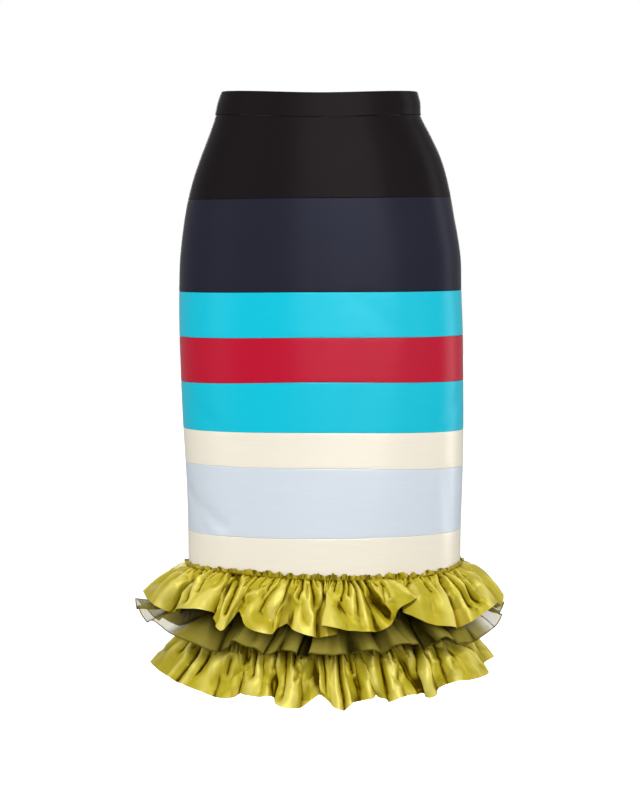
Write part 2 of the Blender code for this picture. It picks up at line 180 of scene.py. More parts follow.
# Folds of each ruffle's hem across the front, as in the construction.
TOP_FOLDS = [
    # angle, out, height
    (-90, 60, -633), (-82, 56, -638), (-76, 50, -645), (-73, 42, -649), (-70, 33, -652),
    (-67.5, 48, -644), (-64, 58, -639), (-59, 62, -636), (-55.5, 54, -638), (-53.5, 32, -646),
    (-51.5, 44, -659), (-49, 45, -664), (-46.5, 33, -655), (-44.5, 24, -642), (-41.5, 33, -647),
    (-39, 40, -657), (-32, 46, -664), (-25.5, 43, -665), (-23, 31, -659), (-19.5, 25, -655),
    (-16, 33, -660), (-11.5, 42, -664), (-4, 44, -668), (6, 32, -669), (11, 27, -667),
    (7, 37, -660), (2, 43, -655), (12.5, 50, -658), (21.5, 50, -661), (30, 48, -662),
    (36, 45, -658), (38.5, 44, -651), (39.5, 48, -637), (43, 58, -624), (46, 63, -618),
    (46, 50, -628), (43, 35, -640), (46.5, 39, -645), (51, 44, -652), (56, 46, -658),
    (61, 44, -662), (65, 41, -667), (68.5, 38, -664), (72.5, 44, -656), (77, 52, -645),
    (83, 51, -643), (87, 53, -649), (90, 57.5, -639),
]
MIDDLE_FOLDS = [
    # angle, out, height
    (-90, 70, -643), (-81, 66, -657), (-74, 60, -663), (-66.5, 51, -677), (-61, 46, -683),
    (-55.5, 41, -690), (-51, 33, -692), (-47.5, 24, -686), (-45, 35, -678), (-40.5, 38, -682),
    (-33.5, 40, -687), (-29, 37, -692), (-26.5, 32, -692), (-24, 23, -689), (-21.5, 34, -686),
    (-18, 38, -687), (-14, 36, -691), (-11, 27, -695), (-8.5, 26, -695), (-5.5, 34, -692),
    (4, 40, -692), (13, 37, -692), (18, 28, -692), (23.5, 26, -690), (30, 36, -688), (35, 38, -688),
    (39, 30, -686), (42.5, 34, -682), (47.5, 43, -680), (52.5, 34, -688), (58, 28, -685),
    (60, 39, -676), (63.5, 43, -681), (68, 37, -687), (72, 38, -688), (77, 46, -679),
    (83, 53, -669), (90, 53, -661),
]
BOTTOM_FOLDS = [
    # angle, out, height
    (-90, 50, -724), (-82, 46, -728), (-75, 43, -732), (-69, 40, -738), (-61, 38, -744),
    (-54, 34, -750), (-49, 30, -752), (-47, 22, -752), (-45, 16, -748), (-40, 27, -748),
    (-34, 32, -747), (-30, 28, -747), (-27.5, 18, -750), (-25, 31, -756), (-22, 38, -759),
    (-17, 36, -761), (-11, 28, -760), (-5, 17, -752), (0, 13, -747), (4, 20, -750), (8.5, 32, -760),
    (13.5, 36, -762), (17, 32, -759), (20, 27, -754), (25, 26, -751), (30, 25, -751),
    (33.5, 13, -748), (37, 25, -755), (42, 28, -752), (47, 26, -748), (51, 23, -748),
    (53.5, 15, -750), (55.5, 30, -753), (58, 33, -750), (60.5, 23, -744), (63, 30, -738),
    (66, 35, -735), (70, 40, -735), (74.5, 44, -734), (79.5, 45, -731), (82, 34, -724),
    (90, 44, -720),
]

# Creases of each ruffle's front. Each has its depth, half its width, how much wider it is at its
# end, and the places that it passes, by the distance along the strip from the left seam and the
# share of the way down from the stitching. A depth below 0 is a ridge. The back has similar ones.
TOP_CREASES = [
    (2.0, 6, 1.2, (40, 0.05), (34, 0.4)),
    (1.8, 5, 1.0, (62, 0.02), (54, 0.3)),
    (-3.0, 8, 1.0, (80, 0.15), (80, 0.5), (75, 0.75), (72, 1.0)),
    (6.5, 4, 1.3, (108, 0.05), (124, 0.28), (139, 0.5), (146, 0.8)),
    (8.0, 8, 1.3, (106, 0.55), (93, 0.83), (85, 1.0)),
    (-3.0, 3.5, 1.0, (142, 0.1), (149, 0.4)),
    (3.0, 2.6, 1.0, (148, 0.08), (155, 0.35), (160, 0.62)),
    (2.4, 5, 1.2, (176, 0.05), (180, 0.4)),
    (-4.0, 4, 1.0, (203, 0.05), (207, 0.5), (215, 0.75), (213, 1.0)),
    (4.0, 2.8, 1.0, (206, 0.15), (214, 0.55), (220, 0.8)),
    (7.0, 5.5, 0.6, (192, 0.03), (216, 0.15), (230, 0.32), (233, 0.5), (232, 0.74)),
    (2.6, 3, 1.0, (246, 0.05), (244, 0.3)),
    (3.4, 3, 1.0, (264, 0.06), (262, 0.35), (260, 0.64)),
    (3.0, 9, 1.0, (282, 0.72), (280, 0.9)),
    (4.0, 3, 1.0, (306, 0.06), (297, 0.28)),
    (-3.5, 4, 1.0, (302, 0.15), (295, 0.45), (275, 0.68)),
    (3.0, 2.6, 1.0, (314, 0.08), (308, 0.22)),
    (5.5, 6.5, 1.0, (321, 0.26), (311, 0.54), (308, 0.7), (321, 0.77), (334, 0.82)),
    (5.0, 3.6, 1.0, (350, 0.08), (347, 0.3), (347, 0.55), (338, 0.68)),
    (3.5, 8, 1.2, (349, 0.55), (341, 0.82), (340, 1.0)),
    (3.0, 5, 1.0, (377, 0.65), (372, 0.95)),
    (5.5, 3.2, 1.0, (387, 0.06), (389, 0.3), (383, 0.46)),
    (2.6, 2.4, 1.0, (401, 0.15), (401, 0.44)),
    (6.5, 3.2, 1.9, (410, 0.05), (412, 0.3), (416, 0.56)),
    (4.0, 7, 1.0, (388, 0.6), (394, 0.74)),
    (7.0, 4.2, 1.2, (447, 0.05), (439, 0.28), (426, 0.6), (420, 0.76), (418, 1.0)),
    (2.6, 3, 1.0, (468, 0.04), (470, 0.24)),
    (2.4, 3, 1.0, (486, 0.04), (484, 0.2)),
    (5.0, 3.2, 1.0, (511, 0.05), (508, 0.27), (501, 0.45)),
    (4.5, 3, 1.2, (524, 0.05), (514, 0.4)),
    (4.5, 3, 1.5, (533, 0.03), (528, 0.42), (524, 0.72)),
    (4.0, 6, 1.0, (498, 0.56), (506, 0.74), (524, 0.84)),
    (2.4, 6, 1.0, (495, 0.4), (493, 0.6), (497, 0.8), (505, 0.92)),
    (5.5, 5.5, 1.2, (552, 0.05), (548, 0.42), (547, 0.66), (546, 0.9)),
    (8.0, 5, 1.3, (571, 0.03), (561, 0.4), (561, 0.62), (563, 0.8)),
    (4.5, 9, 1.0, (557, 0.5), (564, 0.68), (575, 0.92)),
    (3.8, 3, 1.0, (601, 0.2), (586, 0.5), (577, 0.64)),
    (3.4, 3, 1.0, (599, 0.34), (588, 0.68)),
    (2.4, 5, 1.0, (640, 0.03), (648, 0.4)),
    (4.5, 4, 1.0, (681, 0.14), (667, 0.38)),
    (2.0, 8, 1.0, (690, 0.2), (700, 0.45)),
    (3.6, 2.8, 1.0, (710, 0.1), (713, 0.25), (717, 0.4)),
    (-2.6, 5, 1.0, (723, 0.25), (726, 0.66)),
    (8.0, 4, 2.3, (757, 0.05), (751, 0.25), (748, 0.48), (750, 0.66), (753, 0.87), (753, 1.02)),
    (5.5, 3.6, 1.0, (768, 0.08), (772, 0.35), (776, 0.6), (779, 0.78)),
    (5.5, 3.4, 1.0, (797, 0.05), (788, 0.33), (790, 0.58), (796, 0.8)),
    (3.5, 9, 1.0, (786, 0.72), (803, 0.82)),
    (3.5, 6, 1.2, (804, 0.3), (800, 0.6), (806, 0.9)),
    (3.0, 5, 1.0, (809, 0.2), (819, 0.6), (819, 0.95)),
    (2.5, 4, 1.0, (833, 0.1), (842, 0.5)),
]
MIDDLE_CREASES = [
    (6.0, 7, 1.0, (18, 0.3), (22, 1.0)),
    (-5.0, 7, 1.0, (42, 0.3), (36, 1.0)),
    (6.0, 8, 1.0, (66, 0.3), (62, 1.0)),
    (-3.0, 8, 1.0, (90, 0.4), (88, 1.0)),
    (4.0, 7, 1.0, (116, 0.3), (112, 0.9)),
    (11.0, 11, 1.1, (160, 0.05), (174, 0.5), (186, 1.0)),
    (-3.0, 5, 1.0, (206, 0.5), (210, 1.0)),
    (3.5, 6, 1.0, (240, 0.3), (243, 0.8)),
    (9.0, 7, 1.0, (262, 0.1), (268, 0.6), (266, 1.0)),
    (4.0, 5, 1.0, (279, 0.4), (279, 1.0)),
    (8.5, 8, 1.0, (332, 0.05), (336, 0.6), (334, 1.0)),
    (2.6, 5, 1.0, (381, 0.4), (380, 0.95)),
    (4.0, 9, 1.0, (412, 0.1), (410, 1.0)),
    (12.0, 9, 1.0, (472, 0.05), (456, 0.6), (453, 1.0)),
    (3.0, 5, 1.0, (499, 0.4), (493, 1.0)),
    (10.0, 10, 1.1, (548, 0.05), (534, 0.5), (528, 1.0)),
    (5.0, 6, 1.0, (592, 0.2), (582, 0.6), (582, 1.0)),
    (4.0, 5, 1.0, (622, 0.4), (619, 0.95)),
    (-5.0, 7, 1.0, (646, 0.3), (644, 1.0)),
    (6.0, 7, 1.0, (668, 0.3), (664, 1.0)),
    (-5.0, 6, 1.0, (688, 0.3), (686, 1.0)),
]
BOTTOM_CREASES = [
    (2.4, 6, 1.0, (24, 0.05), (18, 0.6)),
    (4.0, 5.5, 1.0, (62, 0.1), (60, 0.45)),
    (7.5, 6, 1.2, (84, 0.1), (95, 0.48), (94, 0.68), (89, 0.95)),
    (-3.0, 5, 1.0, (102, 0.3), (106, 0.7)),
    (2.6, 7, 1.0, (114, 0.3), (116, 0.6)),
    (3.0, 7, 1.0, (150, 0.6), (152, 1.0)),
    (4.0, 4, 1.0, (160, 0.4), (160, 0.62)),
    (5.5, 6, 0.7, (182, 0.1), (188, 0.42)),
    (4.0, 3, 1.0, (193, 0.2), (196, 0.56)),
    (6.5, 3.5, 1.6, (202, 0.1), (205, 0.4), (208, 0.62)),
    (-2.5, 4, 1.0, (214, 0.3), (216, 0.6)),
    (3.5, 7, 1.0, (222, 0.4), (226, 0.92)),
    (2.6, 4, 1.0, (246, 0.1), (242, 0.5)),
    (6.5, 5.5, 1.1, (268, 0.1), (272, 0.5), (272, 0.8)),
    (4.5, 3.2, 1.0, (291, 0.1), (288, 0.36), (297, 0.48), (291, 0.56)),
    (4.5, 8, 1.0, (303, 0.5), (307, 0.8), (303, 1.0)),
    (3.0, 9, 1.0, (330, 0.3), (330, 0.8)),
    (-4.0, 2.8, 1.0, (345, 0.26), (348, 0.5), (341, 0.9)),
    (4.0, 3, 1.0, (353, 0.15), (355, 0.5), (350, 0.85)),
    (7.5, 4, 1.2, (391, 0.12), (386, 0.45), (383, 0.7), (380, 1.02)),
    (4.0, 3, 1.0, (413, 0.1), (408, 0.5)),
    (5.5, 7, 1.0, (425, 0.2), (418, 0.5), (410, 0.8), (403, 1.0)),
    (-2.5, 3, 1.0, (436, 0.25), (430, 0.7)),
    (9.0, 6.5, 1.2, (484, 0.12), (470, 0.45), (463, 0.7), (454, 1.0)),
    (-3.5, 3, 1.0, (478, 0.35), (467, 0.85)),
    (4.0, 3, 1.0, (498, 0.15), (493, 0.4)),
    (3.4, 3, 1.0, (497, 0.54), (478, 0.77)),
    (3.5, 8, 1.0, (484, 0.76), (480, 1.0)),
    (7.5, 4, 1.2, (549, 0.1), (538, 0.38), (526, 0.6), (511, 0.95)),
    (-3.0, 4, 1.0, (556, 0.2), (546, 0.5), (528, 0.9)),
    (4.0, 4, 1.0, (571, 0.2), (568, 0.48)),
    (3.5, 6, 1.0, (556, 0.5), (552, 0.64)),
    (8.0, 6, 1.1, (587, 0.1), (577, 0.42), (570, 0.68), (565, 0.95)),
    (3.0, 5, 1.0, (588, 0.68), (572, 0.86)),
    (4.0, 4, 1.0, (618, 0.1), (640, 0.5), (650, 0.8)),
    (2.5, 5, 1.0, (660, 0.2), (662, 0.8)),
    (2.0, 5, 1.0, (682, 0.1), (680, 0.6)),
]
CREASE_POWER = 1.15

# The lip that a crease raises beside it: its height, place and width against the crease's own.
LIP_HEIGHT = 0.3
LIP_PLACE = 2
LIP_WIDTH = 0.8

# Each ruffle's colour, folds and creases, the height of its stitching and how far it springs out
# at the left, front, right and back, the height of its heading, and its painted shadow under the
# ruffle above: how dark, and the shares down between which it fades. The last is for its random draws.
Ruffle = namedtuple("Ruffle", "colour folds creases stitch spring frill shade seed")
RUFFLES = {
    "ruffle_top": Ruffle(
        "chartreuse", TOP_FOLDS, TOP_CREASES,
        (-596.5, -600, -594, -597), (0.56, 0.5, 0.6, 0.5), 7.8, (0, 0.2, 0.5), 40,
    ),
    "ruffle_middle": Ruffle(
        "olive", MIDDLE_FOLDS, MIDDLE_CREASES,
        (-645, -642, -642, -645), (0.55, 0.35, 0.5, 0.35), 0, (0.75, 0.35, 0.95), 50,
    ),
    "ruffle_bottom": Ruffle(
        "chartreuse", BOTTOM_FOLDS, BOTTOM_CREASES,
        (-684, -684, -684, -684), (0.46, 0.3, 0.56, 0.3), 0, (0.55, 0.15, 0.55), 60,
    ),
}
# How far the top ruffle's stitching sags across the front, by the angle.
STITCHING_SAG = [(-90, 0), (-51, 0.5), (-22, 3), (0, 4.2), (30, 6.5), (52, 8), (68, 6), (82, 1.5), (90, 0)]

# Each ruffle cloth's thickness, share of the facets, how widely a fold is felt, and the depth of
# a full fold; the last two set its painted shade, which is whole at a full fold.
RuffleCloth = namedtuple("RuffleCloth", "thick facets passes full")
RUFFLE_CLOTHS = {
    "chartreuse": RuffleCloth(0.36, 1.0, 44, 1.9),
    "olive": RuffleCloth(0.22, 0.6, 130, 4.2),
}
ROLLED_HEM = 2.2

# A ruffle all the way round: the points of its middle surface and how they face, the distance
# along its hem and down its cloth, the place of its right seam, and the share of painted shade
# where each pinch begins.
RuffleForm = namedtuple("RuffleForm", "grid normals lengths rows_down seam_index pinched")
COLUMN_STEP = 1.35
RUFFLE_ROWS = 42
ROW_SPREAD = 1.15

# The height that shares down a strip are taken of for its creases and for its cloth, and how far
# a ruffle may dip into the wall below it.
STRIP_DROP = 70
STRIP_HEIGHT = 76
BODY_DIP = 0.5

# Shares of the way down a ruffle between which each of its forms begins or ends, and how far it
# is held down at its seams and its stitching.
PUFF = 3.2
PUFF_BEGINS = (-0.01, 0.06)
PUFF_ENDS = (0.3, 0.8)
HANDLED = (0.05, 0.4)
HEM_FLATTER = 0.5
HEM_PART = (0.7, 1)
SEAM_HELD = 8
STITCH_HELD = (-0.01, 0.035)

# Passes of smoothing, and the heights between which a broad crest shows painted highlight or a
# hollow painted shade. Then how dark the broad painted shade is.
BROAD_FOLDS = (220, 0.4, 3.6)
BROAD_SHADE = 0.4
# The share of a full fold at which its painted shade begins, and how far a pinch's painted shade
# reaches above and below the stitching.
FOLD_BEGINS = 0.15
PINCH_SHADE = (2.4, 9)
# The least share of the painted shadow under the ruffle above, at the side seams, and how far
# from them it begins to grow and is whole.
OPEN_SIDES = (0.3, 50, 130)

# Soft unevenness of handled cloth, by its size across and down and its depth.
BROAD_CRUMPLE = (30, 48, 1.2)
FINE_CRUMPLE = (9, 14.4, 0.4)
FACETS = [
    # turn from across the strip, least and most distance between edges, depth
    (4, 14, 34, 2.8),
    (38, 22, 46, 3.3),
    (-42, 24, 48, 3.3),
    (84, 18, 34, 2.2),
]
LEAST_FACET = 0.3

# Pinches under the stitching: where they stand along the strip, ranges of their width and depth,
# the shares down that they reach, how much they lean to a side and narrow on the way, where they
# begin, and over how many widths each is felt.
PINCH_FIRST = (2, 6)
PINCH_LAST = 3
PINCH_APART = (7, 22)
PINCH_WIDTH = (1.8, 3.2)
PINCH_DEPTH = (1.6, 4.0)
PINCH_REACH = (0.08, 0.12, 0.16, 0.22, 0.34)
PINCH_LEAN = 24
PINCH_NARROWS = 0.6
PINCH_TOP = -0.1
PINCH_FELT = 6

# A pinch's painted shade at the stitching, by the depth of the strip at a place near it: the
# depth that counts as full, and the share of it that still shows no shade.
PINCH_PLACE = 0.09
PINCH_FULL = 1.9
PINCH_SLIGHT = 0.2

# The crimped heading above the stitching: the least and most width of its pleats, and how far it
# stands out in all, in its bulge, with its pleats, with its fine pleats and at its tips. Then how
# soon its bulge is full and how much it closes, how its height varies, and how much lower it is
# at the sides. The last three are its painted shade: the share added, how much the painted fold
# shade deepens there, and the darkest.
FRILL_ROWS = 7
FRILL_SEED = 9
LEAST_TOOTH = 0.25
FRILL_PLEAT = (1.8, 6.5)
FRILL_OUT = (0.7, 0.8, 3.2, 0.6, 1.0)
FRILL_FULL_EARLY = 1.15
FRILL_CLOSES = 1.6
FRILL_DIP = 0.3
FRILL_LEAN = 1.1
FRILL_UNEVEN = 0.42
FRILL_FINE_UNEVEN = 0.15
FRILL_LOWER = 0.35
FRILL_LOWER_POWER = 6
FRILL_SHADE = 0.15
FRILL_DEEPENS = 1.4
FRILL_DARKEST = 0.8

# Where the painted shade along the stitching lies down the cloth and how wide it is, and patches
# of painted shade along the stitching and over the heading: their size, row of noise, usual
# shade, contrast and most.
STITCHING_SHADE = (-0.4, 1.6)
STITCHING_PATCHES = (9, 2.5, 0.5, 1.6, 1)
FRILL_PATCHES = (5, 7.5, 0.1, 1.2, 0.55)

# Soft troughs in the satin, by the angle round the skirt and the height of their two ends. A
# degree round the skirt counts as so many millimetres.
MM_A_DEGREE = 2.9
BODY_TROUGHS = [
    # angle, height, to angle, to height, depth, width
    (-80, -498, -56, -538, 1.6, 8),
    (-80, -500, -66, -548, 0.6, 7),
    (-78, -372, -58, -412, 0.8, 9),
    (68, -470, 72, -545, 0.8, 9),
    (80, -368, 66, -412, 0.8, 8),
    (22, -245, 44, -292, 0.5, 14),
    (-40, -30, -50, -118, 0.5, 16),
    (38, -30, 48, -110, 0.4, 16),
    (-20, -570, -34, -590, 0.5, 6),
    (112, -380, 128, -412, 0.8, 9),
    (148, -470, 140, -545, 0.8, 10),
    (250, -372, 236, -412, 0.8, 9),
    (214, -480, 226, -545, 0.7, 10),
    (168, -200, 150, -238, 0.5, 12),
    (194, -150, 206, -235, 0.5, 12),
]

# Each satin's colour, how strongly it shines in white, and in its own colour.
SATINS = {
    "black": ((28, 24, 25), 0.03, 0.2),
    "navy": ((36, 37, 49), 0.06, 0.2),
    "turquoise": ((0, 184, 207), 0.32, 0.06),
    "red": ((178, 6, 42), 0.32, 0.06),
    "cream": ((240, 233, 216), 0.12, 0.2),
    "pale_blue": ((211, 220, 229), 0.12, 0.2),
}
SATIN_ROUGH = 0.3

# An olive ground under the ruffles, partly the cloth that they are sewn to and partly painted
# shade between them, and how far down the skirt it begins.
SHADED_GROUND_COLOUR = (92, 80, 26)
SHADED_GROUND_BEGINS = (0.611, 0.613)

# Painted highlight and painted shade of each ruffle cloth: how much its crests are lightened and
# towards what colour, and how much its closed folds are darkened and towards what colour.
TAFFETA_PAINTED_LIGHT = (0.85, (230, 215, 104), 0.9, (98, 74, 0))
ORGANZA_PAINTED_LIGHT = (0.3, (158, 147, 70), 0.85, (44, 34, 6))

# The organza is dense where its gathers lie close: in metres along the strip, where each stretch
# begins and is full, and where it is last full and ends. Its edge is so far down the strip.
ORGANZA_DENSE = ((0.102, 0.122, 0.63, 0.65), (0.728, 0.742, 1.366, 1.382))
ORGANZA_EDGE = (0.0738, 0.0746)
ORGANZA_SHEER = 0.4
ORGANZA_CLOSER = 0.44
ORGANZA_LAYERS = 0.85

# Places of a colour mix node's two colours and of its result.
MIX_FIRST = 6
MIX_SECOND = 7
MIX_RESULT = 2

# The lights round the skirt, in metres, degrees and watts.
ROOM_LIGHT = 0.34
LIGHTS_AIM = (0, 0, -0.4)
LIGHTS = [
    # name, azimuth, elevation, distance, width, height, power
    ("key", 16, 24, 2.2, 1.8, 2.0, 33),
    ("rim", 105, 12, 2.2, 0.7, 2.0, 7),
    ("fill_left", -62, 16, 2.4, 1.2, 1.8, 36),
    ("fill_right", 58, 16, 2.4, 1.0, 1.8, 16),
    ("back", 180, 25, 2.4, 1.6, 1.8, 28),
]
FLOOR_HEIGHT = -1.05
ROOM_RADIUS = 14
CAMERA_PLACE = (0, -3.5, -0.143)
CAMERA_AIM = (0, 0, -0.383)
CAMERA_LENS = 121.725


def linear(red, green, blue):
    """A colour out of 255 as the linear values that a shader takes."""
    shares = [value / 255 for value in (red, green, blue)]
    return [s / 12.92 if s <= 0.04045 else ((s + 0.055) / 1.055) ** 2.4 for s in shares] + [1]


def hermite(t, start, leaving, end, arriving):
    """A smooth way from start to end, by how it leaves the one and arrives at the other."""
    return (
        (2 * t**3 - 3 * t**2 + 1) * start
        + (t**3 - 2 * t**2 + t) * leaving
        + (3 * t**2 - 2 * t**3) * end
        + (t**3 - t**2) * arriving
    )


def reach_at(height):
    """How far the skirt reaches left, right, front and back at each height, smooth in between."""
    rows = np.array(SECTIONS, float)
    heights, reach = rows[:, 0], rows[:, 1:]
    last = len(rows) - 1
    above = np.maximum(np.arange(last + 1) - 1, 0)
    below = np.minimum(np.arange(last + 1) + 1, last)
    slopes = (reach[below] - reach[above]) / (heights[above] - heights[below])[:, None]
    height = np.clip(np.asarray(height, float), heights[-1], heights[0])
    k = np.clip(np.searchsorted(-heights, -height, side="right") - 1, 0, last - 1)
    span = heights[k] - heights[k + 1]
    t = ((heights[k] - height) / span)[..., None]
    span = span[..., None]
    return hermite(t, reach[k], slopes[k] * span, reach[k + 1], slopes[k + 1] * span)


def oval_points(angle, height, out=0.0):
    """Points round the skirt, by the angle from the centre front, and how far each stands out
    from the middle of the cloth."""
    angle, height, out = np.broadcast_arrays(*(np.asarray(v, float) for v in (angle, height, out)))
    reach = reach_at(height)
    side, ahead = np.sin(np.radians(angle)), np.cos(np.radians(angle))
    across = np.where(side >= 0, reach[..., 1], reach[..., 0])
    deep = np.where(ahead >= 0, reach[..., 2], reach[..., 3])
    power = OVAL_POWER
    radius = ((np.abs(side) / across) ** power + (np.abs(ahead) / deep) ** power) ** (-1 / power)
    x, y = radius * side, -radius * ahead
    slope_x = np.sign(x) * (np.abs(x) / across) ** (power - 1) / across
    slope_y = np.sign(y) * (np.abs(y) / deep) ** (power - 1) / deep
    steep = np.hypot(slope_x, slope_y)
    return np.stack([x + out * slope_x / steep, y + out * slope_y / steep, height], -1)


def round_value(angle, left, front, right, back):
    """A value that is given at the left, front, right and back, smooth in between."""
    side, ahead = np.sin(np.radians(angle)), np.cos(np.radians(angle))
    return np.where(side >= 0, right, left) * side**2 + np.where(ahead >= 0, front, back) * ahead**2


def seam_height(seam, angle):
    """The height of a named seam at an angle round the skirt."""
    heights = next(row[1:] for row in SEAMS if row[0] == seam)
    return round_value(angle, *heights)


def unit(vectors):
    """Vectors made one long."""
    return vectors / np.maximum(np.linalg.norm(vectors, axis=-1, keepdims=True), 1e-9)


def grid_normals(grid, closed=False):
    """The way that the outside of each point of a grid faces. A closed grid's last column is
    its first one again."""
    if closed:
        ring = grid[:, :-1]
        along = np.roll(ring, -1, axis=1) - np.roll(ring, 1, axis=1)
        along = np.concatenate([along, along[:, :1]], axis=1)
    else:
        along = np.gradient(grid, axis=1)
    down = np.gradient(grid, axis=0)
    return unit(np.cross(down, along))


def add_object(name, data):
    """An object in the scene, from its mesh, curve, lamp or camera."""
    made = bpy.data.objects.new(name, data)
    bpy.context.scene.collection.objects.link(made)
    return made


def add_uv_map(mesh, name, first, second):
    """A UV map of a shell from two values for each point of its grid."""
    corners = np.empty(len(mesh.loops), dtype=np.int32)
    mesh.loops.foreach_get("vertex_index", corners)
    pairs = np.stack([np.tile(values.ravel(), 2)[corners] for values in (first, second)], -1)
    layer = mesh.uv_layers.new(name=name)
    layer.data.foreach_set("uv", pairs.astype(np.float32).ravel())


def shell(name, outside, inside, material, along, down):
    """A closed thin shell between two grids of points, in millimetres, with the cloth's own
    coordinates in metres as its UV map."""
    rows, columns = outside.shape[:2]
    count = rows * columns
    index = np.arange(count).reshape(rows, columns)
    a, b, c, d = index[:-1, :-1], index[:-1, 1:], index[1:, 1:], index[1:, :-1]
    faces = [
        np.stack([a, d, c, b], -1).reshape(-1, 4),
        np.stack([a, b, c, d], -1).reshape(-1, 4) + count,
    ]
    for edge in (index[0], index[-1, ::-1], index[::-1, 0], index[:, -1]):
        start, end = edge[:-1], edge[1:]
        faces.append(np.stack([start, end, end + count, start + count], -1))
    points = np.concatenate([outside.reshape(-1, 3), inside.reshape(-1, 3)]) * MM
    mesh = bpy.data.meshes.new(name)
    mesh.from_pydata(points.tolist(), [], np.concatenate(faces).tolist())
    add_uv_map(mesh, "cloth", *(values * MM for values in np.broadcast_arrays(along, down)))
    mesh.materials.append(material)
    mesh.shade_smooth()
    mesh.set_sharp_from_angle(angle=math.radians(CLOTH_SHARP_ANGLE))
    return add_object(name, mesh)


def line_lengths(points):
    """The distance along a row of points to each one."""
    steps = np.linalg.norm(np.diff(points, axis=0), axis=-1)
    return np.concatenate([[0], np.cumsum(steps)])


def hem_points(folds):
    """The hem's points all the way round, from the left seam. The back's folds are the front's,
    turned half round."""
    back = [(angle + 180, out, height) for angle, out, height in folds[1:-1]]
    closed = list(folds) + back + [(folds[0][0] + 360, folds[0][1], folds[0][2])]
    return [oval_points(angle, height, out) for angle, out, height in closed]


def curve_between(before, start, end, after, t):
    """A smooth curve through a row of points, at a share t of the way from start to end."""
    pairs = ((before, start), (start, end), (end, after))
    gaps = [max(np.linalg.norm(b - a), 1.0) ** 0.5 for a, b in pairs]
    first = (start - before) / gaps[0] - (end - before) / (gaps[0] + gaps[1]) + (end - start) / gaps[1]
    last = (end - start) / gaps[1] - (after - start) / (gaps[1] + gaps[2]) + (after - end) / gaps[2]
    return hermite(t, start, first * gaps[1], end, last * gaps[1])


def hem_line(folds, step):
    """Points along the hem, about a step apart, and the index of the right side seam."""
    points = hem_points(folds)
    count = len(points) - 1
    line = []
    seam_index = 0
    for k in range(count):
        if k == len(folds) - 1:
            seam_index = len(line)
        corner = [points[(k - 1) % count], points[k], points[k + 1], points[(k + 2) % count]]
        parts = max(1, round(np.linalg.norm(points[k + 1] - points[k]) / step))
        line += [curve_between(*corner, part / parts) for part in range(parts)]
    line.append(points[-1])
    return np.array(line), seam_index


def smooth_step(value, low, high):
    """0 below low, 1 above high, and smooth between them."""
    t = np.clip((value - low) / (high - low), 0, 1)
    return t * t * (3 - 2 * t)


def noise_over(grid, across, tall, depth):
    """Smooth noise over a grid of points, by its size across and up the cloth and its depth."""
    values = [noise.noise((x / across, y / across, z / tall)) for x, y, z in grid.reshape(-1, 3)]
    return np.array(values).reshape(grid.shape[:2]) * depth


def noise_along(lengths, size, *row):
    """Smooth noise along a line. Each row of noise has its own two numbers."""
    return np.array([noise.noise((length / size, *row)) for length in lengths])


def crease_shape(along, down, crease):
    """How deep one crease is at each place of a strip."""
    depth, width, wider, *path = crease
    nearest = np.full(np.broadcast_shapes(along.shape, down.shape), 1e9)
    passed = np.zeros(nearest.shape)
    for part, (start, end) in enumerate(zip(path, path[1:])):
        run, drop = end[0] - start[0], (end[1] - start[1]) * STRIP_DROP
        right, below = along - start[0], (down - start[1]) * STRIP_DROP
        t = np.clip((right * run + below * drop) / (run * run + drop * drop), 0, 1)
        away = np.hypot(right - t * run, below - t * drop)
        closer = away < nearest
        nearest = np.where(closer, away, nearest)
        passed = np.where(closer, (part + t) / (len(path) - 1), passed)
    x = nearest / (width * (1 + (wider - 1) * passed))
    lip = LIP_HEIGHT * np.exp(-(((x - LIP_PLACE) / LIP_WIDTH) ** 2))
    return -depth * (np.exp(-(x**CREASE_POWER)) - lip)


def gather_shape(along, down, length, seed):
    """Small pinches that run down from the stitching, uneven in length, depth and spacing."""
    draw = random.Random(seed)
    total = np.zeros(np.broadcast_shapes(along.shape, down.shape))
    place = draw.uniform(*PINCH_FIRST)
    while place < length - PINCH_LAST:
        width = draw.uniform(*PINCH_WIDTH)
        reach = draw.choice(PINCH_REACH)
        depth = draw.uniform(*PINCH_DEPTH)
        lean = draw.uniform(-PINCH_LEAN, PINCH_LEAN) * reach
        near = np.abs(along[0] - place) < PINCH_FELT * width + abs(lean)
        crease = (depth, width, PINCH_NARROWS, (place, PINCH_TOP), (place + lean, reach))
        total[:, near] += crease_shape(along[:, near], down, crease)
        place += draw.uniform(*PINCH_APART)
    return total


def facet_shape(along, down, seed):
    """Flat facets with crisp edges between them, as crisp cloth takes when it is handled."""
    draw = random.Random(seed)
    total = np.zeros(np.broadcast_shapes(along.shape, down.shape))
    for turn, least, most, depth in FACETS:
        way = along * math.cos(math.radians(turn)) + down * STRIP_DROP * math.sin(math.radians(turn))
        edges = [way.min()]
        while edges[-1] < way.max():
            edges.append(edges[-1] + draw.uniform(least, most))
        heights = [draw.uniform(LEAST_FACET, 1) * depth * (-1) ** i for i in range(len(edges))]
        total += np.interp(way, edges, heights)
    return total


def sunk_depth(grid, normals, passes):
    """How far each place of a closed grid lies below the same grid with its folds smoothed out."""
    smooth = grid[:, :-1]
    for _ in range(passes):
        smooth = (np.roll(smooth, 1, axis=1) + 2 * smooth + np.roll(smooth, -1, axis=1)) / 4
    smooth = np.concatenate([smooth, smooth[:, :1]], axis=1)
    return ((smooth - grid) * normals).sum(-1)


def clear_of_body(grid, clear):
    """The same points, moved out where they would dip into the skirt below."""
    x, y, z = grid[..., 0], grid[..., 1], grid[..., 2]
    angle = np.degrees(np.arctan2(x, -y))
    least = oval_points(angle, z, clear - BODY_DIP)
    radius = np.hypot(x, y)
    short = np.maximum(np.hypot(least[..., 0], least[..., 1]) - radius, 0)
    grow = (radius + short) / radius
    return np.stack([x * grow, y * grow, z], -1)


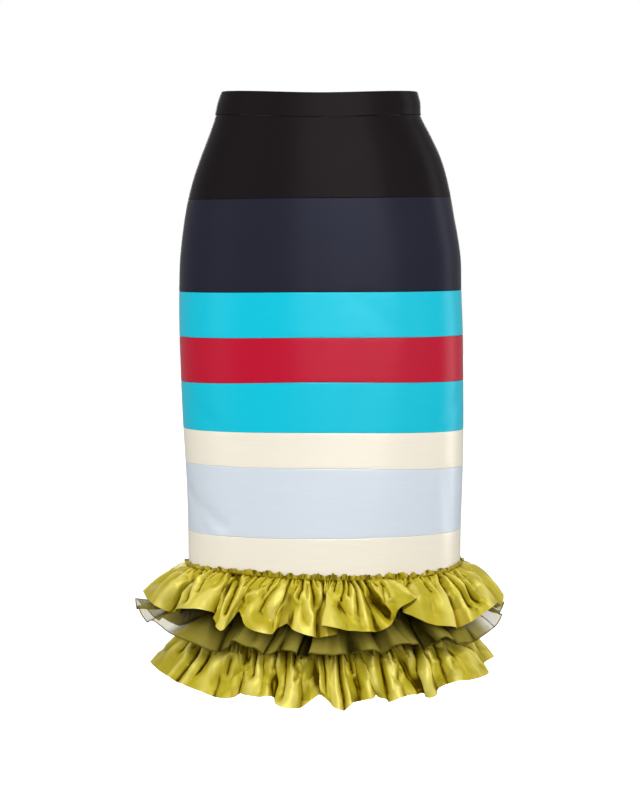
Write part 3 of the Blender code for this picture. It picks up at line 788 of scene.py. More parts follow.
def seam_distance(lengths, seam_index):
    """How far each place round a ruffle is from the nearer side seam."""
    half, whole = lengths[seam_index], lengths[-1]
    return np.minimum(np.abs(lengths - half), np.minimum(lengths, whole - lengths))


def strips(seam_index):
    """The front and the back strip of a ruffle, each with its columns from seam to seam."""
    return ("front", slice(0, seam_index + 1)), ("back", slice(seam_index, None))


def ruffle_form(ruffle, facets):
    """A ruffle's middle surface all the way round."""
    hem, seam_index = hem_line(ruffle.folds, COLUMN_STEP)
    lengths = line_lengths(hem)
    angle = np.interp(lengths, (0, lengths[seam_index], lengths[-1]), (-90, 90, 270))
    clear = CLOTH / 2 + SEAM_GAP + RUFFLE_CLOTH / 2
    height = round_value(angle, *ruffle.stitch)
    if ruffle.frill:
        height = height - np.interp(angle, *zip(*STITCHING_SAG))
    start = oval_points(angle, height, clear)
    lead = round_value(angle, *ruffle.spring)[:, None]
    knee = start + (hem - start) * lead
    knee[:, 2] = height - (height - hem[:, 2]) * (1 - lead[:, 0]) ** 2
    share = (np.linspace(0, 1, RUFFLE_ROWS + 1) ** ROW_SPREAD)[:, None, None]
    grid = start * (1 - share) ** 2 + knee * 2 * share * (1 - share) + hem * share**2
    normals = grid_normals(grid, closed=True)
    down = share[:, :, 0]
    shift = np.zeros(grid.shape[:2])
    for number, (_, columns) in enumerate(strips(seam_index)):
        along = (lengths[columns] - lengths[columns][0])[None, :]
        for crease in ruffle.creases:
            shift[:, columns] += crease_shape(along, down, crease)
        shift[:, columns] += gather_shape(along, down, along[0, -1], ruffle.seed + number)
    pinch_row = np.searchsorted(down[:, 0], PINCH_PLACE)
    pinched = np.clip(-shift[pinch_row] / PINCH_FULL - PINCH_SLIGHT, 0, 1)
    handled = smooth_step(down, *HANDLED)
    shift += (noise_over(grid, *BROAD_CRUMPLE) + noise_over(grid, *FINE_CRUMPLE) * facets) * handled
    flatter = 1 - HEM_FLATTER * smooth_step(down, *HEM_PART)
    shift += facet_shape(lengths[None, :], down, ruffle.seed) * handled * facets * flatter
    puff = smooth_step(down, *PUFF_BEGINS) * (1 - smooth_step(down, *PUFF_ENDS))
    shift += PUFF * puff * np.abs(np.cos(np.radians(angle)))
    shift *= smooth_step(seam_distance(lengths, seam_index), 0, SEAM_HELD) * smooth_step(down, *STITCH_HELD)
    grid = clear_of_body(grid + normals * shift[..., None], clear)
    rows_down = down[:, 0] * STRIP_HEIGHT
    if ruffle.frill:
        grid = np.concatenate([frill_rows(angle, height, clear, ruffle), grid])
        rows_up = ruffle.frill * (1 - np.arange(FRILL_ROWS) / FRILL_ROWS)
        rows_down = np.concatenate([-rows_up, rows_down])
    return RuffleForm(grid, grid_normals(grid, closed=True), lengths, rows_down, seam_index, pinched)


def uneven_line(draw, count, least, most):
    """A zigzag of uneven teeth, one value for each of a closed row of places."""
    edges = [0.0]
    while edges[-1] < count:
        edges.append(edges[-1] + draw.uniform(least, most))
    edges = np.array(edges) * count / edges[-1]
    heights = np.array([draw.uniform(LEAST_TOOTH, 1) * (-1) ** i for i in range(len(edges))])
    heights[-1] = heights[0]
    return np.interp(np.arange(count), edges, heights)


def frill_rows(angle, height, clear, ruffle):
    """The narrow heading that stands up over the stitching, crimped by the gathers."""
    draw = random.Random(ruffle.seed + FRILL_SEED)
    per_column = np.linalg.norm(oval_points(angle[1], height[1]) - oval_points(angle[0], height[0]))
    least, most = (pleat / per_column for pleat in FRILL_PLEAT)
    crimp, fine, tip, lean = (
        uneven_line(draw, len(angle), least * shorter, most * longer)
        for shorter, longer in ((1, 1), (0.5, 0.5), (1.5, 2), (1, 1))
    )
    frill = ruffle.frill * (1 - FRILL_LOWER * np.abs(np.sin(np.radians(angle))) ** FRILL_LOWER_POWER)
    stands, bulge, pleats, fine_pleats, tips = FRILL_OUT
    rows = []
    for i in range(FRILL_ROWS):
        k = 1 - i / FRILL_ROWS
        full = math.sin(math.pi * min(1, k * FRILL_FULL_EARLY) / FRILL_CLOSES)
        out = clear + stands + (bulge + pleats * crimp) * full + (fine_pleats * fine + tips * tip) * k
        out = np.maximum(out, clear - FRILL_DIP)
        rise = frill * (1 + FRILL_UNEVEN * tip + FRILL_FINE_UNEVEN * fine) * k
        rows.append(oval_points(angle + FRILL_LEAN * k * lean, height + rise, out))
    return np.array(rows)


def patches_along(lengths, seed, patches):
    """Uneven painted shade along a line, in patches of a size."""
    size, row, usual, contrast, most = patches
    return np.clip(usual + contrast * noise_along(lengths, size, row, seed), 0, most)


def frill_shade(painted_shade, form, seed):
    """Painted patchy shade along the stitching and over the crimped heading above it."""
    painted_shade[:FRILL_ROWS] = np.minimum(FRILL_DARKEST, painted_shade[:FRILL_ROWS] * FRILL_DEEPENS + FRILL_SHADE)
    place, width = STITCHING_SHADE
    near_stitching = np.exp(-(((form.rows_down - place) / width) ** 2))[:, None]
    painted_shade = np.maximum(painted_shade, near_stitching * patches_along(form.lengths, seed, STITCHING_PATCHES))
    heading_shade = patches_along(form.lengths, seed, FRILL_PATCHES)
    painted_shade[:FRILL_ROWS] = np.maximum(painted_shade[:FRILL_ROWS], heading_shade)
    return painted_shade


def fold_shades(form, ruffle, cloth):
    """Painted shade where a ruffle's folds close, at pinches and under the ruffle above; painted highlight
    on crests.
    """
    sunk = sunk_depth(form.grid, form.normals, cloth.passes)
    painted_shade = smooth_step(sunk, FOLD_BEGINS * cloth.full, cloth.full)
    passes, least, most = BROAD_FOLDS
    sunk = sunk_depth(form.grid, form.normals, passes)
    crest_highlight = smooth_step(-sunk, least, most)
    painted_shade = np.maximum(painted_shade, BROAD_SHADE * smooth_step(sunk, least, most))
    if ruffle.frill:
        painted_shade = frill_shade(painted_shade, form, ruffle.seed)
    rows_down = form.rows_down
    # Painted shade where the pinches begin, above and below the stitching.
    above, below = PINCH_SHADE
    begins = np.exp(-((rows_down / np.where(rows_down < 0, above, below)) ** 2))
    painted_shade = np.maximum(painted_shade, begins[:, None] * form.pinched)
    # Painted shadow under the ruffle above, weaker near the side seams.
    under, *fading = ruffle.shade
    painted_shadow = under * (1 - smooth_step(rows_down / rows_down[-1], *fading))
    least, *reach = OPEN_SIDES
    from_seam = smooth_step(seam_distance(form.lengths, form.seam_index), *reach)
    painted_shadow = painted_shadow[:, None] * (least + (1 - least) * from_seam)
    return painted_shade + painted_shadow * (1 - painted_shade), crest_highlight


def make_ruffle(name, material):
    """The front and back of one ruffle."""
    ruffle = RUFFLES[name]
    colour = ruffle.colour
    cloth = RUFFLE_CLOTHS[colour]
    form = ruffle_form(ruffle, cloth.facets)
    painted_shade, crest_highlight = fold_shades(form, ruffle, cloth)
    fat = np.full(len(form.grid), cloth.thick)
    fat[-2:] = cloth.thick * ROLLED_HEM
    for part, columns in strips(form.seam_index):
        middle, along = form.grid[:, columns], form.lengths[columns]
        half = form.normals[:, columns] * fat[:, None, None] / 2
        node = f"{name}_{part}"
        sides = middle + half, middle - half
        piece = shell(f"{node}_cloth", *sides, material, along[None, :], form.rows_down[:, None])
        # The UV map folds carries the painted shade and the painted highlight that the colour follows.
        add_uv_map(piece.data, "folds", painted_shade[:, columns], crest_highlight[:, columns])
        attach(piece, "skirt")
        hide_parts(node)


def panel_heights(band, top, bottom):
    """The heights of a panel's rows, close together near its seams."""
    near = NEAR_SEAM[:-1] if band == "waistband" else NEAR_SEAM
    tall = float((top - bottom).mean()) - 2 * NEAR_SEAM[-1]
    between = LEAST_ROWS if band == "waistband" else max(LEAST_ROWS, round(tall / ROW_HEIGHT))
    upper = [top - distance for distance in near]
    lower = [bottom + distance for distance in near[::-1]]
    shares = np.linspace(0, 1, between + 2)[1:-1]
    return np.array(upper + [upper[-1] + (lower[0] - upper[-1]) * share for share in shares] + lower)


def satin_lift(band, first, angle, height, along, to_seam, flat_form):
    """How far the satin stands out from its plain form: puckers, troughs and slow waves."""
    if band == "waistband":
        depth, reach, power = WAISTBAND_FULL
        lift = depth * np.clip(to_seam / reach, 0, 1) ** power
    else:
        depth, place, width = SEAM_RIDGE
        lift = depth * np.exp(-((to_seam - place) / width) ** 2)
    depth, reach, begins = PUCKER_SHAPE
    pucker = sum(share * noise_along(along, size, first, row) for share, size, row in PUCKERS)
    lift += depth * pucker * np.exp(-to_seam / reach) * smooth_step(to_seam, 0, begins)
    if band != "waistband":
        for trough in BODY_TROUGHS:
            lift += body_trough(angle, height, trough)
        lift += noise_over(flat_form, *SATIN_WAVES)
    return lift


def body_trough(angle, height, trough):
    """A soft trough in the satin between two places on the skirt."""
    angle1, height1, angle2, height2, depth, width = trough
    along, start, end = angle * MM_A_DEGREE, angle1 * MM_A_DEGREE, angle2 * MM_A_DEGREE
    dx, dz = end - start, height2 - height1
    t = np.clip(((along - start) * dx + (height - height1) * dz) / (dx * dx + dz * dz), 0, 1)
    away = np.hypot(along - start - t * dx, height - height1 - t * dz)
    return -depth * np.exp(-((away / width) ** 2))


def make_band_panel(band, upper, lower, panel, material):
    """One satin panel: pressed seams, slight puckers along them, and soft troughs."""
    panel_name, first, last = panel
    wall, thick, roll = WAISTBAND_WALL if band == "waistband" else BAND_WALL
    columns = round((last - first) * COLUMNS_A_DEGREE)
    between = np.linspace(first + 2 * NEAR_SIDE[-1], last - 2 * NEAR_SIDE[-1], columns)
    angle = np.concatenate([first + NEAR_SIDE, between, last - NEAR_SIDE[::-1]])
    top = seam_height(upper, angle) - (PANEL_GAP if upper != "waist_top" else 0)
    bottom = seam_height(lower, angle) + (PANEL_GAP if lower != "hem" else 0)
    height = panel_heights(band, top, bottom)
    flat_form = oval_points(angle, height)
    along = line_lengths(flat_form[len(height) // 2])
    to_seam = np.minimum(top - height, height - bottom)
    to_edge = np.minimum(to_seam, np.minimum(along, along[-1] - along))
    inward = roll * (1 - np.sqrt(np.clip(1 - (1 - np.clip(to_edge / roll, 0, 1)) ** 2, 0, 1)))
    lift = satin_lift(band, first, angle, height, along, to_seam, flat_form)
    out = wall - CLOTH / 2
    outside = oval_points(angle, height, out - inward + lift)
    inside = oval_points(angle, height, out - thick + lift + (inward if band == "waistband" else 0))
    for grid in (outside, inside):
        grid[:, 0] += unit(grid[:, 1] - grid[:, 0]) * PANEL_GAP
        grid[:, -1] += unit(grid[:, -2] - grid[:, -1]) * PANEL_GAP
    node = f"{band}_{panel_name}"
    piece = shell(f"{node}_cloth", outside, inside, material, along, -height)
    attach(piece, "skirt")
    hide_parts(node)


def tape_line(angle, out):
    """A line down the tape at an angle round the skirt, near one point a millimetre."""
    corners = []
    for (upper, *_), (lower, *_), rows in zip(SEAMS, SEAMS[1:], TAPE_ROWS):
        top, bottom = seam_height(upper, angle), seam_height(lower, angle)
        corners += [oval_points(angle, top + (bottom - top) * i / rows, out) for i in range(rows)]
    corners = np.array(corners)
    lengths = line_lengths(corners)
    even = np.linspace(0, lengths[-1], round(lengths[-1]) + 1)
    return np.stack([np.interp(even, lengths, corners[:, k]) for k in range(3)], -1)


def make_zip_tape(material):
    """The woven tape behind the centre back opening. Gives the line down its middle."""
    inset = -(CLOTH / 2 + SEAM_GAP + TAPE_CLOTH / 2)
    left, middle, right = (tape_line(CENTRE_BACK + turn, inset) for turn in (-TAPE_TURN, 0, TAPE_TURN))
    rows = min(len(line) for line in (left, middle, right))
    left, middle, right = left[:rows], middle[:rows], right[:rows]
    first, second = (middle + unit(side - middle) * TAPE_HALF_WIDTH for side in (left, right))
    share = np.linspace(0, 1, TAPE_COLUMNS)[None, :, None]
    grid = np.where(
        share < 0.5,
        first[:, None] + (middle - first)[:, None] * share * 2,
        middle[:, None] + (second - middle)[:, None] * (share * 2 - 1),
    )
    half = grid_normals(grid) * TAPE_CLOTH / 2
    across = share[:, :, 0] * 2 * TAPE_HALF_WIDTH
    down = np.arange(rows, dtype=float)[:, None]
    piece = shell("zip_tape_cloth", grid + half, grid - half, material, across, down)
    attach(piece, "skirt")
    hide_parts("zip_tape")
    return middle


def make_zip_coil(line, material):
    """The coil on the inner face of the tape, a row of fine turns on each side."""
    whole = len(line) - 1
    turns = whole / COIL_PITCH
    share = np.linspace(0, 1, round(turns * COIL_STEPS) + 1)
    middle = np.stack([np.interp(share * whole, np.arange(len(line)), line[:, k]) for k in range(3)], -1)
    reach_across, reach_deep = COIL_REACH
    for side, name in ((-1, "zip_coil_right"), (1, "zip_coil_left")):
        spin = share * turns * 2 * math.pi * side
        x = middle[:, 0] + side * COIL_ASIDE + reach_across * np.cos(spin)
        y = middle[:, 1] - TAPE_CLOTH / 2 - COIL_INSIDE + reach_deep * np.sin(spin)
        make_wire(name, np.stack([x, y, middle[:, 2]], -1), COIL_WIRE, material)


def make_wire(name, points, radius, material):
    """A round wire through a row of points, as a mesh."""
    curve = bpy.data.curves.new(name, "CURVE")
    curve.dimensions = "3D"
    line = curve.splines.new("POLY")
    line.points.add(len(points) - 1)
    line.points.foreach_set("co", np.concatenate([points * MM, np.ones((len(points), 1))], 1).ravel())
    curve.bevel_depth = radius * MM
    curve.bevel_resolution = 1
    curve.use_fill_caps = True
    holder = add_object(name, curve)
    mesh = final_mesh(holder)
    bpy.data.objects.remove(holder)
    mesh.name = name
    mesh.materials.append(material)
    made = add_object(name, mesh)
    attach(made, "skirt")


def final_mesh(piece):
    """A piece's mesh with its modifiers or its wire's thickness in it."""
    graph = bpy.context.evaluated_depsgraph_get()
    return bpy.data.meshes.new_from_object(piece.evaluated_get(graph))


def apply_modifiers(piece):
    """Makes a piece's modifiers part of its mesh."""
    shape = final_mesh(piece)
    piece.modifiers.clear()
    piece.data = shape


def add_box(bm, low, high):
    """A box between two corners, added to a bmesh."""
    size = [b - a for a, b in zip(low, high)]
    middle = [(a + b) / 2 for a, b in zip(low, high)]
    matrix = Matrix.Translation([v * MM for v in middle]) @ Matrix.Diagonal([v * MM for v in size] + [1])
    bmesh.ops.create_cube(bm, size=1, matrix=matrix)


def add_rod(bm, radius, half_length, out):
    """A round rod along X, centred a distance out from the cloth."""
    matrix = Matrix.Translation((0, out * MM, 0)) @ Matrix.Rotation(math.radians(90), 4, "Y")
    size = {"radius1": radius * MM, "radius2": radius * MM, "depth": 2 * half_length * MM}
    bmesh.ops.create_cone(bm, cap_ends=True, segments=ROD_SIDES, matrix=matrix, **size)


def bevel_edges(bm, edges, radius, segments):
    """Rounds some edges of a bmesh."""
    bmesh.ops.bevel(bm, geom=edges, offset=radius * MM, segments=segments, affect="EDGES")


def edges_along(edges, axis, least):
    """The edges that reach further than a length along an axis."""
    return [e for e in edges if abs(e.verts[0].co[axis] - e.verts[1].co[axis]) > least * MM]


def piece_from(name, fill, material):
    """An object whose mesh a function fills."""
    bm = bmesh.new()
    fill(bm)
    bmesh.ops.recalc_face_normals(bm, faces=bm.faces)
    mesh = bpy.data.meshes.new(name)
    bm.to_mesh(mesh)
    bm.free()
    mesh.materials.append(material)
    return add_object(name, mesh)


def cut_or_join(target, tool, operation):
    """Joins a tool's shape to the target or cuts it away, and removes the tool."""
    modifier = target.modifiers.new(operation, "BOOLEAN")
    modifier.operation = operation
    modifier.object = tool
    modifier.solver = "EXACT"
    apply_modifiers(target)
    bpy.data.objects.remove(tool)


def round_edges(piece, radius):
    """Rounds a metal piece's edges and shades it smooth."""
    modifier = piece.modifiers.new("rounded", "BEVEL")
    modifier.width = radius * MM
    modifier.segments = 3
    modifier.limit_method = "ANGLE"
    modifier.angle_limit = ROUNDED_TURN
    apply_modifiers(piece)
    piece.data.shade_smooth()
    piece.data.set_sharp_from_angle(angle=EDGE_TURN)


def waist_matrix():
    """Places the slider's own frame on the waistband at the centre back: X across, Y out from
    the cloth and Z up along it."""
    above, below = (
        Vector(oval_points(CENTRE_BACK, seam_height(seam, CENTRE_BACK)))
        for seam in ("waist_top", "waist_seam")
    )
    lean = math.atan2(below.y - above.y, above.z - below.z)
    normal = Vector((0, math.cos(lean), math.sin(lean)))
    place = above.lerp(below, SLIDER_PLACE) + normal * (WAISTBAND_CLOTH - CLOTH / 2)
    return Matrix.Translation(place * MM) @ Matrix.Rotation(lean, 4, "X")


def make_slider(material, place):
    """The slider: a plate with rounded corners, two ears and the pin that the pull hangs on."""
    wide, low, high = SLIDER_HALF_WIDTH, SLIDER_GAP, SLIDER_GAP + SLIDER_THICK

    def fill_plate(bm):
        add_box(bm, (-wide, low, -SLIDER_HALF_LENGTH), (wide, high, SLIDER_HALF_LENGTH))
        bevel_edges(bm, edges_along(bm.edges, 1, SLIDER_THICK / 2), SLIDER_CORNER, segments=5)

    plate = piece_from("zip_slider_metal", fill_plate, material)
    for side in (-1, 1):
        inner, outer = sorted((side * (wide - EAR_THICK), side * wide))

        def fill_ear(bm):
            near = (inner, low + SLIDER_THICK / 2, -EAR_HALF_LENGTH)
            add_box(bm, near, (outer, PIN_OUT + PIN_RADIUS + EAR_RIM, EAR_HALF_LENGTH))
            top = [e for e in bm.edges if all(v.co.y > PIN_OUT * MM for v in e.verts)]
            bevel_edges(bm, edges_along(top, 0, EAR_THICK / 2), EAR_CORNER, segments=5)

        cut_or_join(plate, piece_from("ear", fill_ear, material), "UNION")
    reach = wide - EAR_THICK / 2
    pin = piece_from("pin", lambda bm: add_rod(bm, PIN_RADIUS, reach, PIN_OUT), material)
    cut_or_join(plate, pin, "UNION")
    round_edges(plate, SLIDER_EDGE)
    plate.data.transform(place)
    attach(plate, "skirt")
    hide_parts("zip_slider")


def make_pull(material, place):
    """The pull: a flat tab, wider at its end and with a sunk panel on each face, on an eye that
    turns on the slider's pin."""
    tab = piece_from("zip_pull_metal", lambda bm: add_rod(bm, EYE_RADIUS, EYE_HALF_WIDTH, 0), material)

    def fill_plate(bm):
        neck, thick = PULL_NECK_HALF_WIDTH, PULL_THICK / 2
        add_box(bm, (-neck, -thick, -PULL_LENGTH), (neck, thick, -EYE_HOLE - EYE_WALL))
        low_end = -PULL_LENGTH * MM / 2
        for vert in bm.verts:
            if vert.co.z < low_end:
                vert.co.x *= PULL_END_HALF_WIDTH / neck
        ends = [e for e in bm.edges if all(v.co.z < low_end for v in e.verts)]
        corners = [e for e in ends if e.verts[0].co.x * e.verts[1].co.x > 0]
        bevel_edges(bm, corners, PULL_CORNER, segments=6)

    cut_or_join(tab, piece_from("plate", fill_plate, material), "UNION")
    hole = piece_from("hole", lambda bm: add_rod(bm, EYE_HOLE, EYE_HALF_WIDTH * 2, 0), material)
    cut_or_join(tab, hole, "DIFFERENCE")
    for face in (-1, 1):

        def fill_panel(bm):
            out = face * PULL_THICK / 2
            low, high = sorted((out - SUNK_DEPTH * face, out + face))
            near = (-SUNK_HALF_WIDTH, low, -PULL_LENGTH + SUNK_MARGIN)
            add_box(bm, near, (SUNK_HALF_WIDTH, high, -PULL_LENGTH / 2 - 1))
            for vert in bm.verts:
                if vert.co.z < (-PULL_LENGTH + 2) * MM:
                    vert.co.x *= SUNK_WIDER
            bevel_edges(bm, edges_along(bm.edges, 1, 0.5), SUNK_CORNER, segments=4)

        cut_or_join(tab, piece_from("panel", fill_panel, material), "DIFFERENCE")
    round_edges(tab, PULL_EDGE)
    tab.data.transform(place @ Matrix.Translation((0, PIN_OUT * MM, 0)))
    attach(tab, "pull")
    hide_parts("zip_pull")


def add_node(tree, kind, **values):
    """A shader node with some of its settings made and its inputs set, or linked to a socket."""
    node = tree.nodes.new(kind)
    for key, value in values.items():
        name = key.replace("_", " ")
        if name not in node.inputs:
            setattr(node, key, value)
        elif isinstance(value, bpy.types.NodeSocket):
            tree.links.new(value, node.inputs[name])
        else:
            node.inputs[name].default_value = value
    return node


def make_material(name, colour, specular, metallic, roughness, build):
    """A Principled material whose fine structure a function adds."""
    material = bpy.data.materials.new(name)
    material.use_nodes = True
    tree = material.node_tree
    shader = tree.nodes["Principled BSDF"]
    shader.inputs["Base Color"].default_value = linear(*colour)
    shader.inputs["Specular IOR Level"].default_value = specular
    shader.inputs["Metallic"].default_value = metallic
    shader.inputs["Roughness"].default_value = roughness
    build(tree, shader, linear(*colour))
    return material


def scaled(tree, place, *sizes):
    """A place as seen by a pattern that has a size along each axis."""
    scale = [1 / size for size in sizes]
    return add_node(tree, "ShaderNodeMapping", Vector=place, Scale=scale).outputs["Vector"]


def uv_place(tree, uv_map):
    """The place on one of the cloth's two UV maps."""
    return add_node(tree, "ShaderNodeUVMap", uv_map=uv_map).outputs["UV"]


def cloth_place(tree, across, along):
    """The cloth's own coordinates, stretched so that a pattern has a size across and along."""
    return scaled(tree, uv_place(tree, "cloth"), across, along, 1)


def uv_values(tree, uv_map):
    """The two values of a UV map, as X and Y."""
    return add_node(tree, "ShaderNodeSeparateXYZ", Vector=uv_place(tree, uv_map)).outputs


def place_share(tree, channel, low, high):
    """0 to 1 over a range of the cloth's own coordinates in metres."""
    place = uv_values(tree, "cloth")[channel]
    limits = {"From_Min": low, "From_Max": high, "interpolation_type": "SMOOTHSTEP"}
    return add_node(tree, "ShaderNodeMapRange", Value=place, **limits).outputs["Result"]


def combine(tree, operation, first, second):
    """A math node on two values, each a number or a socket."""
    node = add_node(tree, "ShaderNodeMath", operation=operation)
    for socket, value in zip(node.inputs, (first, second)):
        if isinstance(value, (int, float)):
            socket.default_value = value
        else:
            tree.links.new(value, socket)
    return node.outputs[0]


def mixed(tree, share, colour, other):
    """A colour's socket mixed with another colour by a share."""
    mix = add_node(tree, "ShaderNodeMix", data_type="RGBA", Factor=share)
    tree.links.new(colour, mix.inputs[MIX_FIRST])
    mix.inputs[MIX_SECOND].default_value = other
    return mix.outputs[MIX_RESULT]


def varied_colour(tree, shader, colour, place, spread):
    """Varies the base colour a little, lighter and darker. Gives the colour's socket."""
    grain = add_node(tree, "ShaderNodeTexNoise", Scale=1.0, Detail=3, Vector=place)
    ramp = add_node(tree, "ShaderNodeValToRGB", Fac=grain.outputs["Fac"])
    shares = (1 - spread, 1 + spread)
    for end, position, share in zip(ramp.color_ramp.elements, (0.3, 0.7), shares):
        end.position = position
        end.color = [min(1, value * share) for value in colour[:3]] + [1]
    tree.links.new(ramp.outputs["Color"], shader.inputs["Base Color"])
    return ramp.outputs["Color"]


def weave_bump(tree, shader, across, along, strength, distance):
    """The weave as a fine relief: slightly uneven threads across and along the cloth."""
    place = cloth_place(tree, across, along)
    threads = {"Scale": 1.0, "Distortion": 0.6, "Detail": 1.0, "Vector": place}
    waves = [add_node(tree, "ShaderNodeTexWave", bands_direction=way, **threads) for way in ("X", "Y")]
    height = combine(tree, "ADD", *(wave.outputs["Fac"] for wave in waves))
    bump = add_node(tree, "ShaderNodeBump", Strength=strength, Distance=distance, Height=height)
    tree.links.new(bump.outputs["Normal"], shader.inputs["Normal"])
    return bump


def satin(tree, shader, colour):
    """Smooth satin: faint streaks along the weft and a fine twill of long floats."""
    weave_bump(tree, shader, across=0.0009, along=0.0005, strength=0.12, distance=0.00003)
    streaks = cloth_place(tree, across=0.05, along=0.003)
    return varied_colour(tree, shader, colour, streaks, spread=0.014)


def hem_satin(tree, shader, colour):
    """Cream satin above the ruffles, and below an olive ground: the cloth they are sewn to and painted
    shade.
    """
    cream = satin(tree, shader, colour)
    shaded_ground = mixed(tree, place_share(tree, "Y", *SHADED_GROUND_BEGINS), cream, linear(*SHADED_GROUND_COLOUR))
    tree.links.new(shaded_ground, shader.inputs["Base Color"])


def shaded_by_folds(tree, shader, colour, shades):
    """Paints highlight into a cloth's colour on its crests, and paints shade where its folds close, as
    cloth lit only by cloth looks. Gives the colour and the painted shade."""
    on_crest, light, in_fold, dark = shades
    closed, crest_highlight = uv_values(tree, "folds")[:2]
    colour = mixed(tree, combine(tree, "MULTIPLY", crest_highlight, on_crest), colour, linear(*light))
    colour = mixed(tree, combine(tree, "MULTIPLY", closed, in_fold), colour, linear(*dark))
    tree.links.new(colour, shader.inputs["Base Color"])
    gloss = combine(tree, "MAXIMUM", closed, shader.inputs["Metallic"].default_value)
    tree.links.new(gloss, shader.inputs["Metallic"])
    return colour, closed


def crisp_facets(tree, across, along, tilt):
    """A normal that leans another way in each small flat facet of crisp cloth."""
    place = cloth_place(tree, across, along)
    sizes = {"Scale": 1.0, "Smoothness": 0.1}
    cells = add_node(tree, "ShaderNodeTexVoronoi", feature="SMOOTH_F1", Vector=place, **sizes)
    lean = add_node(tree, "ShaderNodeVectorMath", operation="MULTIPLY_ADD")
    tree.links.new(cells.outputs["Color"], lean.inputs[0])
    lean.inputs[1].default_value = (tilt, tilt, 0)
    lean.inputs[2].default_value = (0.5 - tilt / 2, 0.5 - tilt / 2, 1)
    normal = add_node(tree, "ShaderNodeNormalMap", uv_map="cloth", Color=lean.outputs["Vector"])
    return normal.outputs["Normal"]


def taffeta(tree, shader, colour):
    """Crisp shot taffeta: faint slubs along the strip, a fine plain weave and small flat facets."""
    slubs = cloth_place(tree, across=0.03, along=0.0014)
    threads = varied_colour(tree, shader, colour, slubs, spread=0.045)
    bump = weave_bump(tree, shader, across=0.0006, along=0.0006, strength=0.15, distance=0.00004)
    tree.links.new(crisp_facets(tree, across=0.016, along=0.03, tilt=0.2), bump.inputs["Normal"])
    # Painted highlight on the crests and painted shade in the folds.
    shaded_by_folds(tree, shader, threads, TAFFETA_PAINTED_LIGHT)


def organza(tree, shader, colour):
    """Sheer organza: an open plain weave, see-through where one layer stands out at the sides,
    dense where the gathers lie close, and dark along its rolled edge."""
    uneven = cloth_place(tree, across=0.02, along=0.004)
    threads = varied_colour(tree, shader, colour, uneven, spread=0.05)
    weave_bump(tree, shader, across=0.0008, along=0.0008, strength=0.15, distance=0.00005)
    stretches = [
        combine(tree, "MULTIPLY", place_share(tree, "X", begins, full), place_share(tree, "X", ends, last))
        for begins, full, last, ends in ORGANZA_DENSE
    ]
    inner = combine(tree, "ADD", *stretches)
    dense = combine(tree, "ADD", combine(tree, "MULTIPLY", inner, ORGANZA_CLOSER), ORGANZA_SHEER)
    edge = place_share(tree, "Y", *ORGANZA_EDGE)
    # Painted highlight on the crests and painted shade in the folds; the painted shade also makes the
    # organza denser.
    painted_colour, closed = shaded_by_folds(tree, shader, threads, ORGANZA_PAINTED_LIGHT)
    for thicker in (edge, closed):
        dense = combine(tree, "MAXIMUM", dense, combine(tree, "MULTIPLY", thicker, ORGANZA_LAYERS))
    tree.links.new(dense, shader.inputs["Alpha"])
    darker = mixed(tree, edge, painted_colour, [value * 0.5 for value in colour[:3]] + [1])
    tree.links.new(darker, shader.inputs["Base Color"])


def tape_weave(tree, shader, colour):
    """The tape's herringbone, in ribs 1.6 mm apart."""
    ribs = cloth_place(tree, across=0.001, along=0.0012)
    varied_colour(tree, shader, colour, ribs, spread=0.25)
    weave_bump(tree, shader, across=0.0016, along=0.0008, strength=0.6, distance=0.0001)


def lacquer(tree, shader, colour):
    """Black lacquer on die-cast metal: faint unevenness and small wear of its gloss."""
    place = add_node(tree, "ShaderNodeTexCoord").outputs["Object"]
    varied_colour(tree, shader, colour, scaled(tree, place, 0.002, 0.002, 0.002), spread=0.2)
    fine = scaled(tree, place, 0.0012, 0.0012, 0.0012)
    grain = add_node(tree, "ShaderNodeTexNoise", Scale=1.0, Detail=4, Vector=fine).outputs["Fac"]
    gloss = add_node(tree, "ShaderNodeMapRange", Value=grain, To_Min=0.22, To_Max=0.42)
    tree.links.new(gloss.outputs["Result"], shader.inputs["Roughness"])
    bump = add_node(tree, "ShaderNodeBump", Strength=0.2, Distance=0.00002, Height=grain)
    tree.links.new(bump.outputs["Normal"], shader.inputs["Normal"])


def make_materials():
    """Every cloth and metal of the skirt."""
    rows = [
        # name, colour, specular level, metallic, roughness, fine structure
        *((slot, *row, SATIN_ROUGH, satin) for slot, row in SATINS.items()),
        ("cream_hem", *SATINS["cream"], SATIN_ROUGH, hem_satin),
        ("chartreuse", (186, 170, 28), 0.45, 0.26, 0.42, taffeta),
        ("olive", (140, 128, 46), 0.1, 0, 0.62, organza),
        ("tape_black", (30, 28, 29), 0.3, 0, 0.7, tape_weave),
        ("zip_black", (34, 32, 33), 0.5, 0.6, 0.3, lacquer),
    ]
    return {name: make_material(name, *values) for name, *values in rows}


def make_lights():
    """A large soft key a little to the right, a fill on each side, a rim on the right and a light
    from behind, in a pale room."""
    world = bpy.data.worlds.new("room")
    world.use_nodes = True
    background = world.node_tree.nodes["Background"]
    background.inputs["Color"].default_value = (1, 1, 1, 1)
    background.inputs["Strength"].default_value = ROOM_LIGHT
    bpy.context.scene.world = world
    for name, azimuth, elevation, distance, width, height, power in LIGHTS:
        lamp = bpy.data.lights.new(name, "AREA")
        lamp.shape = "RECTANGLE"
        lamp.size = width
        lamp.size_y = height
        lamp.energy = power
        made = add_object(name, lamp)
        turn, rise = math.radians(azimuth), math.radians(elevation)
        way = Vector((math.sin(turn) * math.cos(rise), -math.cos(turn) * math.cos(rise), math.sin(rise)))
        made.location = Vector(LIGHTS_AIM) + way * distance
        made.rotation_mode = "QUATERNION"
        made.rotation_quaternion = way.to_track_quat("Z", "Y")
        made.visible_glossy = not name.startswith("fill")


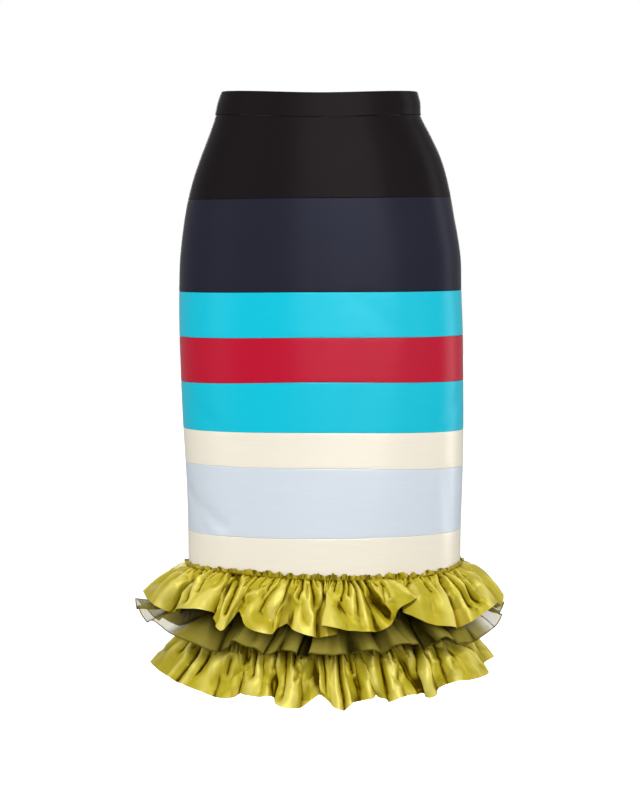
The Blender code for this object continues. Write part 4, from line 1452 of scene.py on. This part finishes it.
def make_room():
    """A pale floor at a wearer's feet and a white backdrop all round."""
    centre = (0, 0, FLOOR_HEIGHT)
    bpy.ops.mesh.primitive_circle_add(vertices=64, radius=ROOM_RADIUS, fill_type="NGON", location=centre)
    floor = bpy.context.object
    floor.name = "floor"
    white = bpy.data.materials.new("floor_white")
    white.use_nodes = True
    shader = white.node_tree.nodes["Principled BSDF"]
    shader.inputs["Base Color"].default_value = (0.9, 0.9, 0.9, 1)
    shader.inputs["Roughness"].default_value = 0.9
    shader.inputs["Emission Color"].default_value = (1, 1, 1, 1)
    shader.inputs["Emission Strength"].default_value = 0.9
    floor.data.materials.append(white)
    bpy.ops.mesh.primitive_uv_sphere_add(segments=48, ring_count=24, radius=ROOM_RADIUS, location=centre)
    backdrop = bpy.context.object
    backdrop.name = "backdrop"
    glow = bpy.data.materials.new("backdrop_white")
    glow.use_nodes = True
    tree = glow.node_tree
    tree.nodes.remove(tree.nodes["Principled BSDF"])
    lit = add_node(tree, "ShaderNodeEmission", Strength=1.0)
    tree.links.new(lit.outputs[0], tree.nodes["Material Output"].inputs["Surface"])
    backdrop.data.materials.append(glow)
    for plain in (floor, backdrop):
        plain.visible_diffuse = False
        plain.visible_glossy = False
        plain.visible_shadow = False


def make_camera():
    """The photograph's view: from the front, a little above the middle."""
    camera = add_object("camera", bpy.data.cameras.new("camera"))
    camera.location = CAMERA_PLACE
    camera.rotation_mode = "QUATERNION"
    camera.rotation_quaternion = (Vector(CAMERA_AIM) - camera.location).to_track_quat("-Z", "Y")
    camera.data.sensor_width = 36
    camera.data.lens = CAMERA_LENS
    bpy.context.scene.camera = camera


def main():
    """Builds the looks of the whole skirt."""
    bpy.context.scene.view_settings.view_transform = "Standard"
    materials = make_materials()
    for (band, colour), upper, lower in zip(BANDS, SEAMS, SEAMS[1:]):
        cloth = materials["cream_hem"] if lower[0] == "hem" else materials[colour]
        for panel in PANELS:
            make_band_panel(band, upper[0], lower[0], panel, cloth)
    for name, ruffle in RUFFLES.items():
        make_ruffle(name, materials[ruffle.colour])
    tape = make_zip_tape(materials["tape_black"])
    make_zip_coil(tape, materials["zip_black"])
    place = waist_matrix()
    make_slider(materials["zip_black"], place)
    make_pull(materials["zip_black"], place)
    make_room()
    make_lights()
    make_camera()


main()
